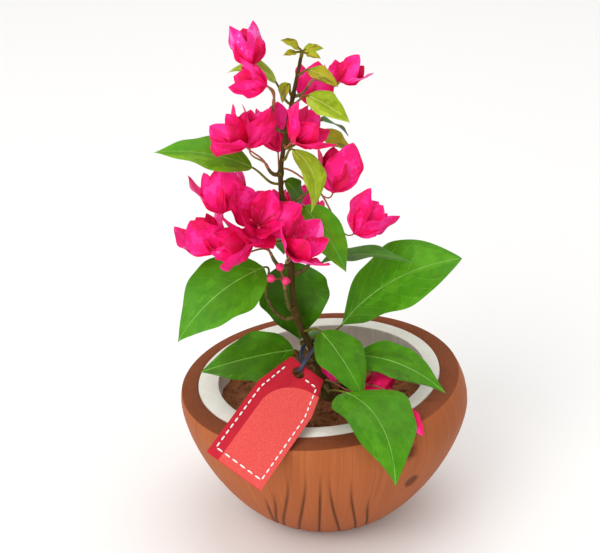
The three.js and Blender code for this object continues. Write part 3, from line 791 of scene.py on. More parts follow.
bough_shapes = bunch()
for bough_name, (_, _, tip_radius) in boughs.items():
    line = bough_line(bough_name)
    add_shape(bough_shapes, *limb(
        line, lambda s: tip_radius * (1.3 - 0.3 * s + 0.45 * math.exp(-s * 9)), bough_sides,
        shoot_bark))
young_wood = mottled(
    "young_wood", 0x5E5A22, 0.7, 420, [(0.3, 0x42300C), (0.55, 0x5E5216), (0.78, 0x7A7424)], (0.0002, 0.6))
bough_piece = joined("boughs_bark", bough_shapes, [young_wood])
settled(bough_piece, "twig", *["bough_" + name for name in boughs])

# The leaves: ovate blades with a drawn-out tip, each on a short stalk. A blade arches along its
# midrib, folds up from it and ripples at the margin. Its veins stand a little proud on both faces.
leaf_shape = {"width_share": 0.54, "swell": 0.7, "taper": 1.2, "arch": 0.10, "fold": 0.16}
full_leaf_length = 0.06  # at which a leaf has veins of the full radius
leaf_thickness = 0.0004
leaf_rows = 44
leaf_columns = 20  # an even number, so that one line runs along the midrib
vein_pairs = 6
# Past the step, a face of the blade takes painted shade or a painted highlight.
leaf_tone_step = 0.34  # noise past this, up or down, makes a face of the blade lighter or darker
midrib_radius, side_vein_radius = 0.0006, 0.00026
midrib_reach, midrib_steps, vein_steps = 0.98, 16, 8
vein_start, vein_span, vein_reach = 0.07, 0.66, 0.24  # shares of the blade's length
leaf_stalk_radius, leaf_stalk_taper = 0.0008, 0.00025
stalk_sides = 8
stalk_pull = 0.4  # how far a stalk keeps the way it left, as a share of its reach
stalk_runs_on = 0.0015  # how far a stalk lies under the midrib
tip_sink, bark_sink = 0.0006, 0.0012  # how deep a stalk is rooted in a tip and in a side
hub_length, hub_cap, leaf_hub_radius = 0.0022, 0.0006, 0.001
DARK, MID, BRIGHT, FRESH, OLIVE, YOUNG = 1, 2, 3, 5, 8, 10  # places in the row of leaf greens


def leaf(foot, heading, rise, length, **more):
    """Foot in metres, angles in degrees. More gives roll, width, arch, fold, sweep, swell or taper."""
    return {"foot": Vector(foot), "heading": heading, "rise": rise, "length": length, "roll": 0, **more}


leaf_sprays = {  # what each grows on, its leaves' tint, and the leaves
    "low_front_leaf": ("low_front", BRIGHT, [
        leaf((0.011, -0.040, 0.095), -64, -25, 0.064, arch=0.17, roll=-5, width=0.044, sweep=-0.05)]),
    "low_right_leaf": ("low_right", MID, [
        leaf((0.016, -0.010, 0.1015), -27, -10, 0.057, roll=25, width=0.023, sweep=-0.05)]),
    "low_left_leaf": ("low_left", DARK, [
        leaf((-0.017, -0.008, 0.104), -165, -7, 0.054, roll=-72, width=0.028, sweep=0.05)]),
    "low_centre_leaf": (0.112, MID, [
        leaf((-0.0022, -0.013, 0.1181), -48, -39, 0.045, roll=14, width=0.027)]),
    "right_big_leaf": (0.105, BRIGHT, [
        leaf((0.010, 0.016, 0.107), -5, 34, 0.080, roll=35, width=0.043, sweep=-0.05, swell=1.05,
             taper=0.9)]),
    "left_big_leaf": ("left_low", BRIGHT, [
        leaf((-0.0333, -0.008, 0.1551), -155, -34, 0.062, roll=-40, width=0.037, sweep=0.06)]),
    "dark_leaf": (0.144, DARK, [
        leaf((-0.0195, 0.013, 0.1482), -28, -82, 0.048, arch=0.03, fold=0.06, roll=57, width=0.040)]),
    "right_narrow_leaf": ("right_mid", MID, [
        leaf((-0.002, 0.006, 0.151), -4, 1, 0.052, roll=-5, width=0.022)]),
    "right_leaf": (0.184, FRESH, [
        leaf((-0.012, -0.0015, 0.1885), -17, -56, 0.044, roll=35, width=0.022)]),
    "light_leaf": (0.215, YOUNG, [
        leaf((-0.0174, -0.006, 0.2234), -41, -70, 0.036, roll=11, width=0.015, sweep=-0.16)]),
    "stem_leaf": (0.199, MID, [
        leaf((-0.022, 0.004, 0.201), 47, -54, 0.023, roll=75)]),
    "left_upper_leaf": (0.201, FRESH, [
        leaf((-0.039, -0.004, 0.212), -178, 10, 0.053, roll=-25, width=0.024)]),
    "small_right_leaf": (0.221, OLIVE, [
        leaf((-0.004, 0.010, 0.2255), 13, -31, 0.022, roll=35)]),
    "top_left_leaf": (0.246, YOUNG, [
        leaf((-0.026, 0.008, 0.255), -175, 14, 0.027, arch=0.25, roll=-15)]),
    "top_right_leaf": (0.247, YOUNG, [
        leaf((-0.010, -0.005, 0.253), -24, -25, 0.027, roll=35)]),
    "left_olive_leaf": (0.251, OLIVE, [
        leaf((-0.0195, -0.001, 0.2583), 128, -66, 0.014, roll=-82, width=0.009)]),
    "olive_leaf": (0.263, OLIVE, [
        leaf((-0.0095, -0.004, 0.267), -27, -22, 0.019, roll=20)]),
    "tip_leaves": ("stem", OLIVE, [
        leaf((-0.014, 0, 0.277), -163, 28, 0.012, roll=-35),
        leaf((-0.012, 0, 0.276), 11, 2, 0.011, roll=35),
        leaf((-0.0105, -0.0015, 0.275), -30, -10, 0.009, roll=30),
        leaf((-0.0155, -0.0015, 0.2755), -152, -4, 0.008, roll=-30)]),
}
young_nodes = [
    "light_leaf", "top_left_leaf", "top_right_leaf", "left_olive_leaf", "olive_leaf", "tip_leaves",
]
back_sprays = {  # fanned round each back bough's tip
    "back_low": {"facing": 90, "leaf_facing": 52, "leaf_length": 0.034, "leaves": 3, "fan": 32,
                 "leaf_rise": -18, "blooms": 1, "bloom_rise": 60},
    "back_mid": {"facing": 95, "leaf_facing": 95, "leaf_length": 0.040, "leaves": 3, "fan": 50,
                 "leaf_rise": -30, "blooms": 2, "bloom_rise": 32},
    "back_high": {"facing": 70, "leaf_facing": 66, "leaf_length": 0.023, "leaves": 2, "fan": 60,
                  "leaf_rise": -30, "blooms": 0, "bloom_rise": 20},
}
drawn = 41


def draw():
    """The same run of numbers from 0 to 1 every time."""
    global drawn
    drawn = (drawn * 1664525 + 1013904223) % 4294967296
    return drawn / 4294967296


def direction(heading, rise):
    h, r = math.radians(heading), math.radians(rise)
    return Vector((math.cos(r) * math.cos(h), math.cos(r) * math.sin(h), math.sin(r)))


def face_of(along, roll):
    """The way an upper face looks on something that runs along a line: up, turned by roll."""
    face = (Vector((0, 0, 1)) - along * along.z).normalized()
    return Matrix.Rotation(math.radians(roll), 3, along) @ face


def fanned(facing, fan, count, make):
    """Makes some things side by side in a fan, with a little chance in each heading."""
    middle = (count - 1) / 2
    return [make(facing + (i - middle) * fan + 12 * (draw() - 0.5)) for i in range(count)]


def back_leaf(spray, tip):
    def make(heading):
        foot = tip + direction(heading, -5) * spray["leaf_length"] * 0.3
        rise = spray["leaf_rise"] - 8 * draw()
        return leaf(foot, heading, rise, spray["leaf_length"] * (0.9 + 0.2 * draw()))
    return make


def back_bloom(spray, tip):
    def make(heading):
        foot = tip + direction(heading, 48) * 0.015
        rise = spray["bloom_rise"] + 10 * draw()
        return {"foot": foot, "heading": heading, "rise": rise, "length": 0.022, "spread": 34,
                "roll": 120 * draw()}
    return make


back_blooms = {}
for spray_name, spray in back_sprays.items():
    bough_tip = Vector(boughs[spray_name][1])
    leaf_sprays[spray_name + "_leaves"] = (
        spray_name, MID,
        fanned(spray["leaf_facing"], spray["fan"], spray["leaves"], back_leaf(spray, bough_tip)))
    if spray["blooms"]:
        back_blooms[spray_name + "_blooms"] = fanned(
            spray["facing"], spray["fan"], spray["blooms"], back_bloom(spray, bough_tip))


def blade_place(blade, share, side):
    """A point on a blade, from 0 to 1 along it and from -1 to 1 across it."""
    reach = blade["width"] / 2 * blade["outline"](share)
    ripple = blade["ripple"] * math.sin(blade["waves"] * share + blade["phase"] * (1 if side > 0 else 1.7))
    reach *= 1 + blade["scallop"] * math.sin(blade["waves"] * 1.7 * share + blade["phase"])
    rise = blade["arch"] * blade["length"] * 4 * share * (1 - share)
    rise += blade["fold"] * abs(side) * reach + ripple * side * side * reach
    rise -= blade["curl"] * blade["length"] * share ** 4
    drift = blade["sweep"] * blade["length"] * 4 * share * (1 - share)
    return (blade["foot"] + blade["along"] * (share * blade["length"])
            + blade["across"] * (side * reach + drift) + blade["face"] * rise)


def ovate(swell, taper):
    """Half the width of an ovate blade along its length, 1 where it is widest."""
    widest = swell / (swell + taper)
    full = widest ** swell * (1 - widest) ** taper
    return lambda s: s ** swell * (1 - s) ** taper / full


def laid_blade(spec, shape, draws, **set_by):
    """A blade ready to be sampled: its own frame, and its chance ripples."""
    along = spec.get("along") or direction(spec["heading"], spec["rise"])
    face = spec.get("face") or face_of(along, spec["roll"])
    blade = {
        "foot": spec["foot"], "length": spec["length"], "along": along, "face": face,
        "across": along.cross(face), "width": spec.get("width", spec["length"] * shape["width_share"]),
        "arch": spec.get("arch", shape["arch"]), "fold": spec.get("fold", shape["fold"]),
        "outline": ovate(spec.get("swell", shape["swell"]), spec.get("taper", shape["taper"])),
        "sweep": spec.get("sweep", 0.0), "curl": 0.0,
        "ripple": 0.1, "scallop": 0.03, "waves": draws.uniform(9, 14), "phase": draws.uniform(0, 6.3),
        "lit_side": draws.choice((-1, 1)),
    }
    blade.update(set_by)
    return blade


def blade_shape(blade, rows, columns, thickness):
    """A closed thin blade: two sheets that meet along the margin, thickest at the midrib."""
    points = [blade_place(blade, 0.0, 0.0), blade_place(blade, 1.0, 0.0)]
    top, bottom = {}, {}
    for row in range(1, rows):
        share = row / rows
        for column in range(columns + 1):
            side = 2 * column / columns - 1
            place = blade_place(blade, share, side)
            deep = thickness / 2 * (1 - side * side) * min(1.0, 6 * share, 6 * (1 - share))
            top[row, column] = len(points)
            points.append(place + blade["face"] * deep)
            if column in (0, columns):
                bottom[row, column] = top[row, column]
            else:
                bottom[row, column] = len(points)
                points.append(place - blade["face"] * deep)
    faces = []
    for row in range(1, rows - 1):
        for column in range(columns):
            faces.append([top[row, column], top[row, column + 1], top[row + 1, column + 1],
                          top[row + 1, column]])
            faces.append([bottom[row, column], bottom[row + 1, column], bottom[row + 1, column + 1],
                          bottom[row, column + 1]])
    for column in range(columns):
        faces.append([0, top[1, column + 1], top[1, column]])
        faces.append([0, bottom[1, column], bottom[1, column + 1]])
        faces.append([1, top[rows - 1, column], top[rows - 1, column + 1]])
        faces.append([1, bottom[rows - 1, column + 1], bottom[rows - 1, column]])
    return points, faces


def tones(blade, rows, columns, own, step_at, foot_shade=0.0):
    """A finish for each of a blade's faces: its own, or one darker or lighter as painted shade or painted
    highlight, in torn patches, with one half of the blade painted lit and the other shaded.
    """
    def tone(row, column):
        share = (row + 0.5) / rows
        side = (2 * column + 1) / columns - 1
        place = Vector((share * 2.6 + blade["phase"] * 7, side * 1.3, blade["waves"] * 5))
        # The noise paints patches of shade and highlight, and lit_side paints one half of the blade lighter
        # and the other darker.
        level = noise.noise(place) * 1.2 + noise.noise(place * 3.1) * 0.45 + side * blade["lit_side"] * 0.35
        # foot_shade paints shade towards the blade's foot.
        level -= foot_shade * max(0.0, 0.5 - share)
        return own + (1 if level > step_at else -1 if level < -step_at else 0)
    faces = []
    for row in range(1, rows - 1):
        for column in range(columns):
            faces += [tone(row, column)] * 2
    for column in range(columns):
        faces += [tone(0, column)] * 2 + [tone(rows - 1, column)] * 2
    return faces


def vein_shapes(heap, blade, pairs, midrib, side_vein, finish_number, sides=4):
    """The midrib and the side veins that leave it, as thin ridges on both faces."""
    line = [
        blade_place(blade, midrib_reach * step / midrib_steps, 0.0) for step in range(midrib_steps + 1)
    ]
    add_shape(heap, *limb(line, lambda s: midrib * (1 - 0.5 * s), 6), finish_number)
    for pair in range(pairs):
        start = vein_start + vein_span * pair / pairs
        for side in (-1, 1):
            line = []
            for step in range(vein_steps + 1):
                t = step / vein_steps
                line.append(blade_place(blade, start + vein_reach * t ** 1.25, side * 0.9 * t))
            add_shape(heap, *limb(line, lambda s: side_vein * (1 - 0.6 * s), sides), finish_number)


def set_off(blade):
    """The way a blade sets off from its foot, which its arch turns from its straight line."""
    rise = blade["face"] * 4 * blade["arch"]
    drift = blade["across"] * 4 * blade["sweep"]
    return (blade["along"] + rise + drift).normalized()


def mass_start(on, middle):
    """Where a mass grows from, a little inside the wood, and the way it leaves."""
    if not isinstance(on, str):
        return on_stem(on, middle, sunk=bark_sink)
    line = stem_line if on == "stem" else bough_line(on)
    out = (line[-1] - line[-2]).normalized()
    return line[-1] - out * tip_sink, out


def forked(heap, start, out, radius, finish_number=0):
    """A short stalk that several others leave from, and the place where they do."""
    hub = start + out * hub_length
    limb_shape = limb([start, hub, hub + out * hub_cap], lambda s: radius, stalk_sides)
    add_shape(heap, *limb_shape, finish_number)
    return hub


def stalk(start, out, foot, arrive, steps=14):
    """Points along a stalk that leaves one way and arrives another."""
    reach = (foot - start).length * stalk_pull
    pull, push, end = start + out * reach, foot - arrive * reach, foot + arrive * stalk_runs_on
    line = []
    for step in range(steps + 1):
        t = step / steps
        line.append(start * (1 - t) ** 3 + pull * (3 * t * (1 - t) ** 2) + push * (3 * t * t * (1 - t))
                    + end * t ** 3)
    return line


leaf_draws = random.Random(3)
leaves, young_leaves, veins, leaf_stalks = bunch(), bunch(), bunch(), bunch()
for spray_name, (on, tint, blades) in leaf_sprays.items():
    middle = sum((spec["foot"] for spec in blades), Vector()) / len(blades)
    start, out = mass_start(on, middle)
    if len(blades) > 1:
        start = forked(leaf_stalks, start, out, leaf_hub_radius)
    for spec in blades:
        blade = laid_blade(spec, leaf_shape, leaf_draws)
        is_young = spray_name in young_nodes
        own = leaf_draws.choice((DARK, MID, BRIGHT)) if spray_name.startswith("back") else tint
        add_shape(young_leaves if is_young else leaves,
                  *blade_shape(blade, leaf_rows, leaf_columns, leaf_thickness),
                  tones(blade, leaf_rows, leaf_columns, own, leaf_tone_step))
        size = (blade["length"] / full_leaf_length) ** 0.5
        vein_shapes(veins, blade, vein_pairs, midrib_radius * size, side_vein_radius * size,
                    1 if is_young else 0)
        line = stalk(start, out, blade["foot"], set_off(blade))
        add_shape(leaf_stalks, *limb(
            line, lambda s: leaf_stalk_radius - leaf_stalk_taper * s, stalk_sides))


def leaf_finish(name, dark, middle, light, roughness=0.5):
    """A leaf's green with a fine pebbled surface."""
    made = finish(name, middle, roughness, Specular_IOR_Level=0.2)
    clouds = grain(made, 160, detail=4)
    pebbles = grain(made, 1500, detail=2)
    painted(made, clouds, [(0.3, dark), (0.5, middle), (0.72, light)])
    relief(made, pebbles, 0.00012, 0.35)
    return made


# A blade's faces take its own green or one of its neighbours in this row, as painted shade and painted
# highlight. The deepest, light, fresh light, dark olive, young shade and young light greens are only ever
# painted shade or painted highlight.
leaf_greens = [
    leaf_finish("leaf_deepest_green", 0x345F00, 0x3A6A00, 0x407200),
    leaf_finish("leaf_dark_green", 0x386800, 0x3E7200, 0x467C00),
    leaf_finish("leaf_mid_green", 0x3C7600, 0x438000, 0x4B8A02),
    leaf_finish("leaf_bright_green", 0x3E7E00, 0x448600, 0x4C9006),
    leaf_finish("leaf_light_green", 0x468800, 0x4E9208, 0x589C12),
    leaf_finish("leaf_fresh_green", 0x528600, 0x5A9002, 0x649A08),
    leaf_finish("leaf_fresh_light", 0x669804, 0x70A20C, 0x7AAC16),
    leaf_finish("leaf_dark_olive", 0x6E6600, 0x7A7204, 0x867E0A),
    leaf_finish("leaf_olive", 0x948A08, 0xA29610, 0xAEA21A),
    leaf_finish("leaf_young_shade", 0x7C9208, 0x869C10, 0x90A61A),
    leaf_finish("leaf_young_green", 0x8AA014, 0x94AC1C, 0xA0B828),
    leaf_finish("leaf_young_light", 0xA4B82A, 0xB0C438, 0xBCCE48),
]
vein_green = mottled("leaf_vein_green", 0x6EA432, 0.5, 200, [(0.35, 0x5E9826), (0.65, 0x7CB03E)])
vein_young = mottled("leaf_vein_young", 0xB6C45A, 0.5, 200, [(0.35, 0xA8B648), (0.65, 0xC4CE6C)])
stalk_green = mottled(
    "leaf_stalk_green", 0x66601C, 0.65, 260, [(0.3, 0x504610), (0.55, 0x6A6018), (0.75, 0x84802C)],
    (0.0002, 0.4), Specular_IOR_Level=0.2)
leaf_piece = joined("leaves", leaves, leaf_greens, 60)
settled(leaf_piece, "leaf", *[name for name in leaf_sprays if name not in young_nodes])
young_piece = joined("leaves_young", young_leaves, leaf_greens, 60)
settled(young_piece, "young_leaf", *young_nodes)
settled(joined("leaf_veins", veins, [vein_green, vein_young]), "leaf")
settled(joined("leaf_stalks", leaf_stalks, [stalk_green]), "twig")

# The blooms: three papery bracts stand round each set of slim flower tubes, with three smaller
# ones of the next flower inside them. They are pointed, veined and crumpled like thin paper.
bract_shape = {"width_share": 0.76, "swell": 0.62, "taper": 0.85, "arch": -0.10, "fold": 0.16}
bract_thickness = 0.00025
bract_rows = 18
bract_columns = 10
bract_vein_pairs = 4
# bract_foot_shade paints shade on a bract towards its foot.
bract_tone_step, bract_foot_shade = 0.3, 0.7  # the second darkens a bract towards its foot
bract_midrib_radius, bract_vein_radius = 0.00028, 0.00015
bract_foot_out = 0.0005
inner_turn, inner_share, inner_spread = 60, 0.84, 0.62  # turn, size and opening of the inner three
tube_radius, tube_flare, tube_steps, tube_sides = 0.0005, 0.0006, 8, 6
tube_share = 0.5  # a tube's length as a share of its bract's
bloom_stalk_radius, bloom_stalk_taper, bloom_hub_radius = 0.0006, 0.0002, 0.0009
DEEP, HOT, LIGHT = 1, 2, 3  # places in the row of bract pinks


def bloom(foot, heading, rise, length, spread, roll):
    return {"foot": Vector(foot), "heading": heading, "rise": rise, "length": length, "spread": spread,
            "roll": roll}


bloom_sprays = {
    "left_blooms": ("left_mid", [
        bloom((-0.0556, -0.006, 0.1858), 104, 59, 0.029, 32, 0),
        bloom((-0.0589, -0.014, 0.1658), 152, 54, 0.028, 32, 60),
        bloom((-0.0368, -0.008, 0.1796), -67, 50, 0.027, 54, 30),
        bloom((-0.0388, -0.020, 0.1739), -159, 10, 0.026, 32, 0)]),
    "centre_bloom": (0.158, [bloom((-0.0185, -0.026, 0.1714), -16, 50, 0.026, 48, 30)]),
    "right_bloom": ("right_upper", [bloom((0.0157, 0.002, 0.1703), 30, 39, 0.027, 27, 0)]),
    "upper_right_bloom": (0.210, [bloom((0.0041, 0.002, 0.1946), 71, 58, 0.030, 24, 44)]),
    "left_upper_blooms": ("left_upper", [
        bloom((-0.0419, -0.016, 0.2285), -175, 46, 0.024, 40, 0),
        bloom((-0.0405, -0.012, 0.2258), 73, 61, 0.025, 28, 60)]),
    "centre_front_bloom": (0.224, [bloom((-0.0179, -0.016, 0.2313), 3, 42, 0.025, 42, 20)]),
    "centre_back_bloom": (0.203, [bloom((-0.0255, 0.010, 0.2151), 94, 59, 0.028, 24, 0)]),
    "top_left_blooms": ("top_left", [
        bloom((-0.0391, -0.004, 0.2689), 113, 58, 0.0235, 17, 40),
        bloom((-0.0307, -0.012, 0.2608), 171, 18, 0.0205, 25, 0)]),
    "top_right_blooms": ("top_right", [
        bloom((0.0078, 0.004, 0.2572), 18, 39, 0.018, 24, 30),
        bloom((0.0064, 0.008, 0.2546), 118, 57, 0.013, 16, 0)]),
    "back_right_bloom": (0.233, [bloom((-0.0073, 0.0165, 0.2385), 68, 62, 0.026, 25, 15)]),
    "low_blooms": (0.081, [bloom((0.0205, -0.022, 0.0855), 1, 8, 0.022, 27, 20)]),
}
for spray_name, blooms in back_blooms.items():
    bloom_sprays[spray_name] = (boughs[spray_name.removesuffix("_blooms")][0] + 0.009, blooms)
single_bracts = {  # bracts that stand alone low on the plant
    "low_blooms": (0.081, leaf((0.0395, -0.045, 0.0917), -64, -13, 0.028, width=0.011, arch=0)),
    "low_bract": (0.096, leaf((-0.0005, -0.008, 0.1015), -47, -56, 0.017, width=0.010, roll=45)),
}
crimson_sprays = ["low_blooms"]
bloom_draws = random.Random(14)
bracts, low_bracts, bract_veins, tubes, bloom_stalks = bunch(), bunch(), bunch(), bunch(), bunch()


def bract(heap, spec, tint):
    blade = laid_blade(
        spec, bract_shape, bloom_draws, waves=bloom_draws.uniform(9, 15),
        curl=bloom_draws.uniform(-0.03, 0.05), sweep=bloom_draws.uniform(-0.05, 0.05),
    )
    add_shape(heap, *blade_shape(blade, bract_rows, bract_columns, bract_thickness),
              tones(blade, bract_rows, bract_columns, tint, bract_tone_step, bract_foot_shade))
    vein_shapes(bract_veins, blade, bract_vein_pairs, bract_midrib_radius, bract_vein_radius,
                1 if tint == DEEP else 0, 3)
    return blade


def bloom_stalk(start, out, foot, arrive):
    line = stalk(start, out, foot, arrive)
    add_shape(bloom_stalks, *limb(
        line, lambda s: bloom_stalk_radius - bloom_stalk_taper * s, stalk_sides))


def whorl(heap, spec, out_turn, share, spread, choices):
    """Three bracts round an axis, with a flower tube against each."""
    tints = [bloom_draws.choice(choices) for _ in range(3)]
    axis = direction(spec["heading"], spec["rise"])
    side = face_of(axis, spec["roll"] + out_turn)
    for third in range(3):
        out = Matrix.Rotation(math.radians(120 * third), 3, axis) @ side
        along = axis * math.cos(math.radians(spread)) + out * math.sin(math.radians(spread))
        face = (axis - along * axis.dot(along)).normalized()
        foot = spec["foot"] + out * bract_foot_out
        bract(heap, {"foot": foot, "length": spec["length"] * share, "along": along, "face": face},
              tints[third])
        lean = (axis * 1.6 + out).normalized()
        line = []
        for step in range(tube_steps + 1):
            line.append(spec["foot"] + lean * spec["length"] * tube_share * share * step / tube_steps)
        add_shape(tubes, *limb(
            line, lambda s: tube_radius + tube_flare * s * s * (1.25 - s), tube_sides))


for spray_name, (on, blooms) in bloom_sprays.items():
    feet = [spec["foot"] for spec in blooms]
    if spray_name in single_bracts:
        feet.append(single_bracts[spray_name][1]["foot"])
    start, out = mass_start(on, sum(feet, Vector()) / len(feet))
    if len(feet) > 1:
        start = forked(bloom_stalks, start, out, bloom_hub_radius)
    heap = low_bracts if spray_name in crimson_sprays else bracts
    outer_tints = (DEEP,) if spray_name in crimson_sprays else (HOT, HOT, LIGHT)
    # Outside the crimson sprays, the inner three are crimson as often as hot pink: painted shade deep
    # inside the bloom.
    inner_tints = (DEEP,) if spray_name in crimson_sprays else (HOT, DEEP)
    for spec in blooms:
        bloom_stalk(start, out, spec["foot"], direction(spec["heading"], spec["rise"]))
        whorl(heap, spec, 0, 1.0, spec["spread"], outer_tints)
        whorl(heap, spec, inner_turn, inner_share, spec["spread"] * inner_spread, inner_tints)
for spray_name, (on, spec) in single_bracts.items():
    blooms = bloom_sprays[spray_name][1] if spray_name in bloom_sprays else []
    feet = [each["foot"] for each in blooms] + [spec["foot"]]
    start, out = mass_start(on, sum(feet, Vector()) / len(feet))
    if len(feet) > 1:
        start = start + out * hub_length
    blade = bract(low_bracts if spray_name in crimson_sprays else bracts, spec, HOT)
    bloom_stalk(start, out, spec["foot"], set_off(blade))


def bract_finish(name, dark, middle, light):
    """A papery bract: pink, finely crumpled like thin paper."""
    made = finish(name, middle, 0.6, Specular_IOR_Level=0.15)
    clouds = grain(made, 160, detail=4)
    crumple = grain(made, 420, detail=3)
    painted(made, clouds, [(0.3, dark), (0.5, middle), (0.72, light)])
    relief(made, crumple, 0.0003, 0.35)
    return made


# A bract's faces take its own pink or one of its neighbours in this row, as painted shade and painted
# highlight; the shaded crimson is only ever painted shade and the pale pink only a painted highlight.
bract_pinks = [
    bract_finish("bract_shaded_crimson", 0xC80C44, 0xD2104C, 0xDC1454),
    bract_finish("bract_crimson", 0xD60C50, 0xE01058, 0xE81460),
    bract_finish("bract_hot_pink", 0xF01070, 0xF8187A, 0xFC2084),
    bract_finish("bract_light_pink", 0xFA2488, 0xFC2E94, 0xFF3A9E),
    bract_finish("bract_pale_pink", 0xFF58B4, 0xFF66BE, 0xFF74C6),
]
vein_pink = mottled("bract_vein_pink", 0xD80A54, 0.55, 300, [(0.35, 0xC40848), (0.65, 0xEA1C66)])
vein_crimson = mottled("bract_vein_crimson", 0x98082C, 0.55, 300, [(0.35, 0x8A0626), (0.65, 0xAA1038)])
tube_finish = mottled(
    "flower_tube_crimson", 0xCC1850, 0.5, 400, [(0.3, 0xB40E40), (0.55, 0xD01C54), (0.8, 0xE85A88)])
stalk_red = mottled(
    "bloom_stalk_red", 0x9C5A3C, 0.6, 220, [(0.3, 0x7C7A2C), (0.5, 0x9C5A3C), (0.7, 0xB04A50)])
bract_piece = joined("bracts", bracts, bract_pinks, 60)
settled(bract_piece, "bract", "low_bract", *[name for name in bloom_sprays if name not in crimson_sprays])
low_bract_piece = joined("bracts_low", low_bracts, bract_pinks, 60)
settled(low_bract_piece, "low_bract", *crimson_sprays)
settled(joined("bract_veins", bract_veins, [vein_pink, vein_crimson]), "bract")
settled(joined("flower_tubes", tubes, [tube_finish]), "bract")
settled(joined("bloom_stalks", bloom_stalks, [stalk_red]), "twig")

# The buds: three young flower clusters, still rolled up, on forking red stalks before the stem.
# Each is a closed spindle, lobed in three where its bracts lap.
bud_radius = 0.0023
bud_stalk_radius = 0.0006
bud_steps, bud_sides = 12, 15
bud_places = [
    Vector((-0.0293, -0.020, 0.154)), Vector((-0.0244, -0.020, 0.1609)), Vector((-0.0212, -0.020, 0.1525)),
]
buds = bunch()
start, out = mass_start("bud", Vector())
hub = forked(buds, start, out, bloom_hub_radius, 1)
for place in bud_places:
    lean = (place - hub).normalized()
    add_shape(buds, *limb(stalk(hub, out, place, lean), lambda s: bud_stalk_radius, stalk_sides), 1)
    line = [
        place + lean * bud_radius * (2.3 * step / bud_steps - 1.1) for step in range(bud_steps + 1)
    ]
    add_shape(buds, *limb(
        line, lambda s: bud_radius * max(0.04, math.sin(math.pi * min(0.99, 0.02 + s * 0.96)) ** 0.75),
        bud_sides, lambda point, turn: 0.07 * math.cos(3 * turn)))
bud_finish = bract_finish("bud_pink", 0xD01C58, 0xE63C76, 0xF45C92)
bud_piece = joined("flower_buds", buds, [bud_finish, stalk_red], 60)
settled(bud_piece, "bract", "buds")

# The tag: a swing tag of red card with a drawn-in head and a round hole. A coral panel with one
# round shoulder lies on its front as painted light, and the band of red that it leaves along the
# card's left and top edges is painted shade.
tag_top = Vector((-0.0127, -0.038, 0.1044))
tag_heading, tag_rise, tag_roll = -120, -17.6, -32.9
tag_length, tag_width = 0.080, 0.0345
tag_head_width, tag_head_length = 0.022, 0.0245
tag_hole_radius, tag_hole_inset, tag_hole_aside = 0.0036, 0.0058, -0.0024
tag_thickness = 0.0008
tag_edge_round = 0.00015
tag_hole_sides = 48
tag_along = direction(tag_heading, tag_rise)
tag_face = face_of(tag_along, tag_roll)
tag_upward = -tag_along
tag_across = tag_upward.cross(tag_face)
tag_frame = Matrix((
    (tag_across.x, tag_upward.x, tag_face.x, tag_top.x),
    (tag_across.y, tag_upward.y, tag_face.y, tag_top.y),
    (tag_across.z, tag_upward.z, tag_face.z, tag_top.z),
    (0, 0, 0, 1),
))
tag_hole = tag_top + tag_across * tag_hole_aside
half_width, half_head = tag_width / 2, tag_head_width / 2
front_side = 1 if tag_face.y < 0 else -1  # which of the card's faces looks to the front
bpy.ops.object.select_all(action="DESELECT")
bpy.ops.mesh.primitive_plane_add(size=1)
card = bpy.context.object
card.name = "tag_card"
bpy.ops.object.mode_set(mode="EDIT")
bpy.ops.transform.resize(value=(tag_width, tag_length, 1))
bpy.ops.transform.translate(value=(0, tag_hole_inset - tag_length / 2, 0))
for side in (-1, 1):
    taper = Vector((side * tag_head_length, half_width - half_head, 0)).normalized()
    bpy.ops.mesh.select_all(action="SELECT")
    bpy.ops.mesh.bisect(
        plane_co=(side * half_head, tag_hole_inset, 0), plane_no=taper, use_fill=False, clear_outer=True
    )
bpy.ops.mesh.select_all(action="SELECT")
bpy.ops.transform.translate(value=(0, 0, -tag_thickness / 2))
bpy.ops.mesh.extrude_region_move(TRANSFORM_OT_translate={"value": (0, 0, tag_thickness)})
facing_outwards()
bpy.ops.object.select_all(action="DESELECT")
bpy.ops.mesh.primitive_cylinder_add(
    vertices=tag_hole_sides, radius=tag_hole_radius, depth=0.01, location=(tag_hole_aside, 0, 0)
)
punch = bpy.context.object
bpy.ops.object.select_all(action="DESELECT")
card.select_set(True)
bpy.context.view_layer.objects.active = card
punched = card.modifiers.new("hole", "BOOLEAN")
punched.operation = "DIFFERENCE"
punched.solver = "EXACT"
punched.object = punch
bpy.ops.object.modifier_apply(modifier="hole")
bpy.data.objects.remove(punch)
eased = card.modifiers.new("eased", "BEVEL")
eased.width = tag_edge_round
eased.segments = 2
eased.limit_method = "ANGLE"
bpy.ops.object.modifier_apply(modifier="eased")
card_red = finish("tag_card_red", 0xC01A2E, 0.6, Specular_IOR_Level=0.2)
card_fibre = grain(card_red, 1100, detail=4)
card_cloud = grain(card_red, 80, detail=3)
card_colour = shades(card_red, card_cloud, [(0.35, 0xB8162A), (0.65, 0xC61C30)])
card_colour = glazed(card_red, 0.15, card_colour, card_fibre, [(0.35, 0xA01024), (0.65, 0xD83044)])
feed(card_red, "Base Color", card_colour)
relief(card_red, card_fibre, 0.0001, 0.5)
card.data.materials.append(card_red)
card.data.transform(tag_frame)
bpy.ops.object.shade_smooth_by_angle(angle=math.radians(30))
settled(card, "card", "hang_tag")

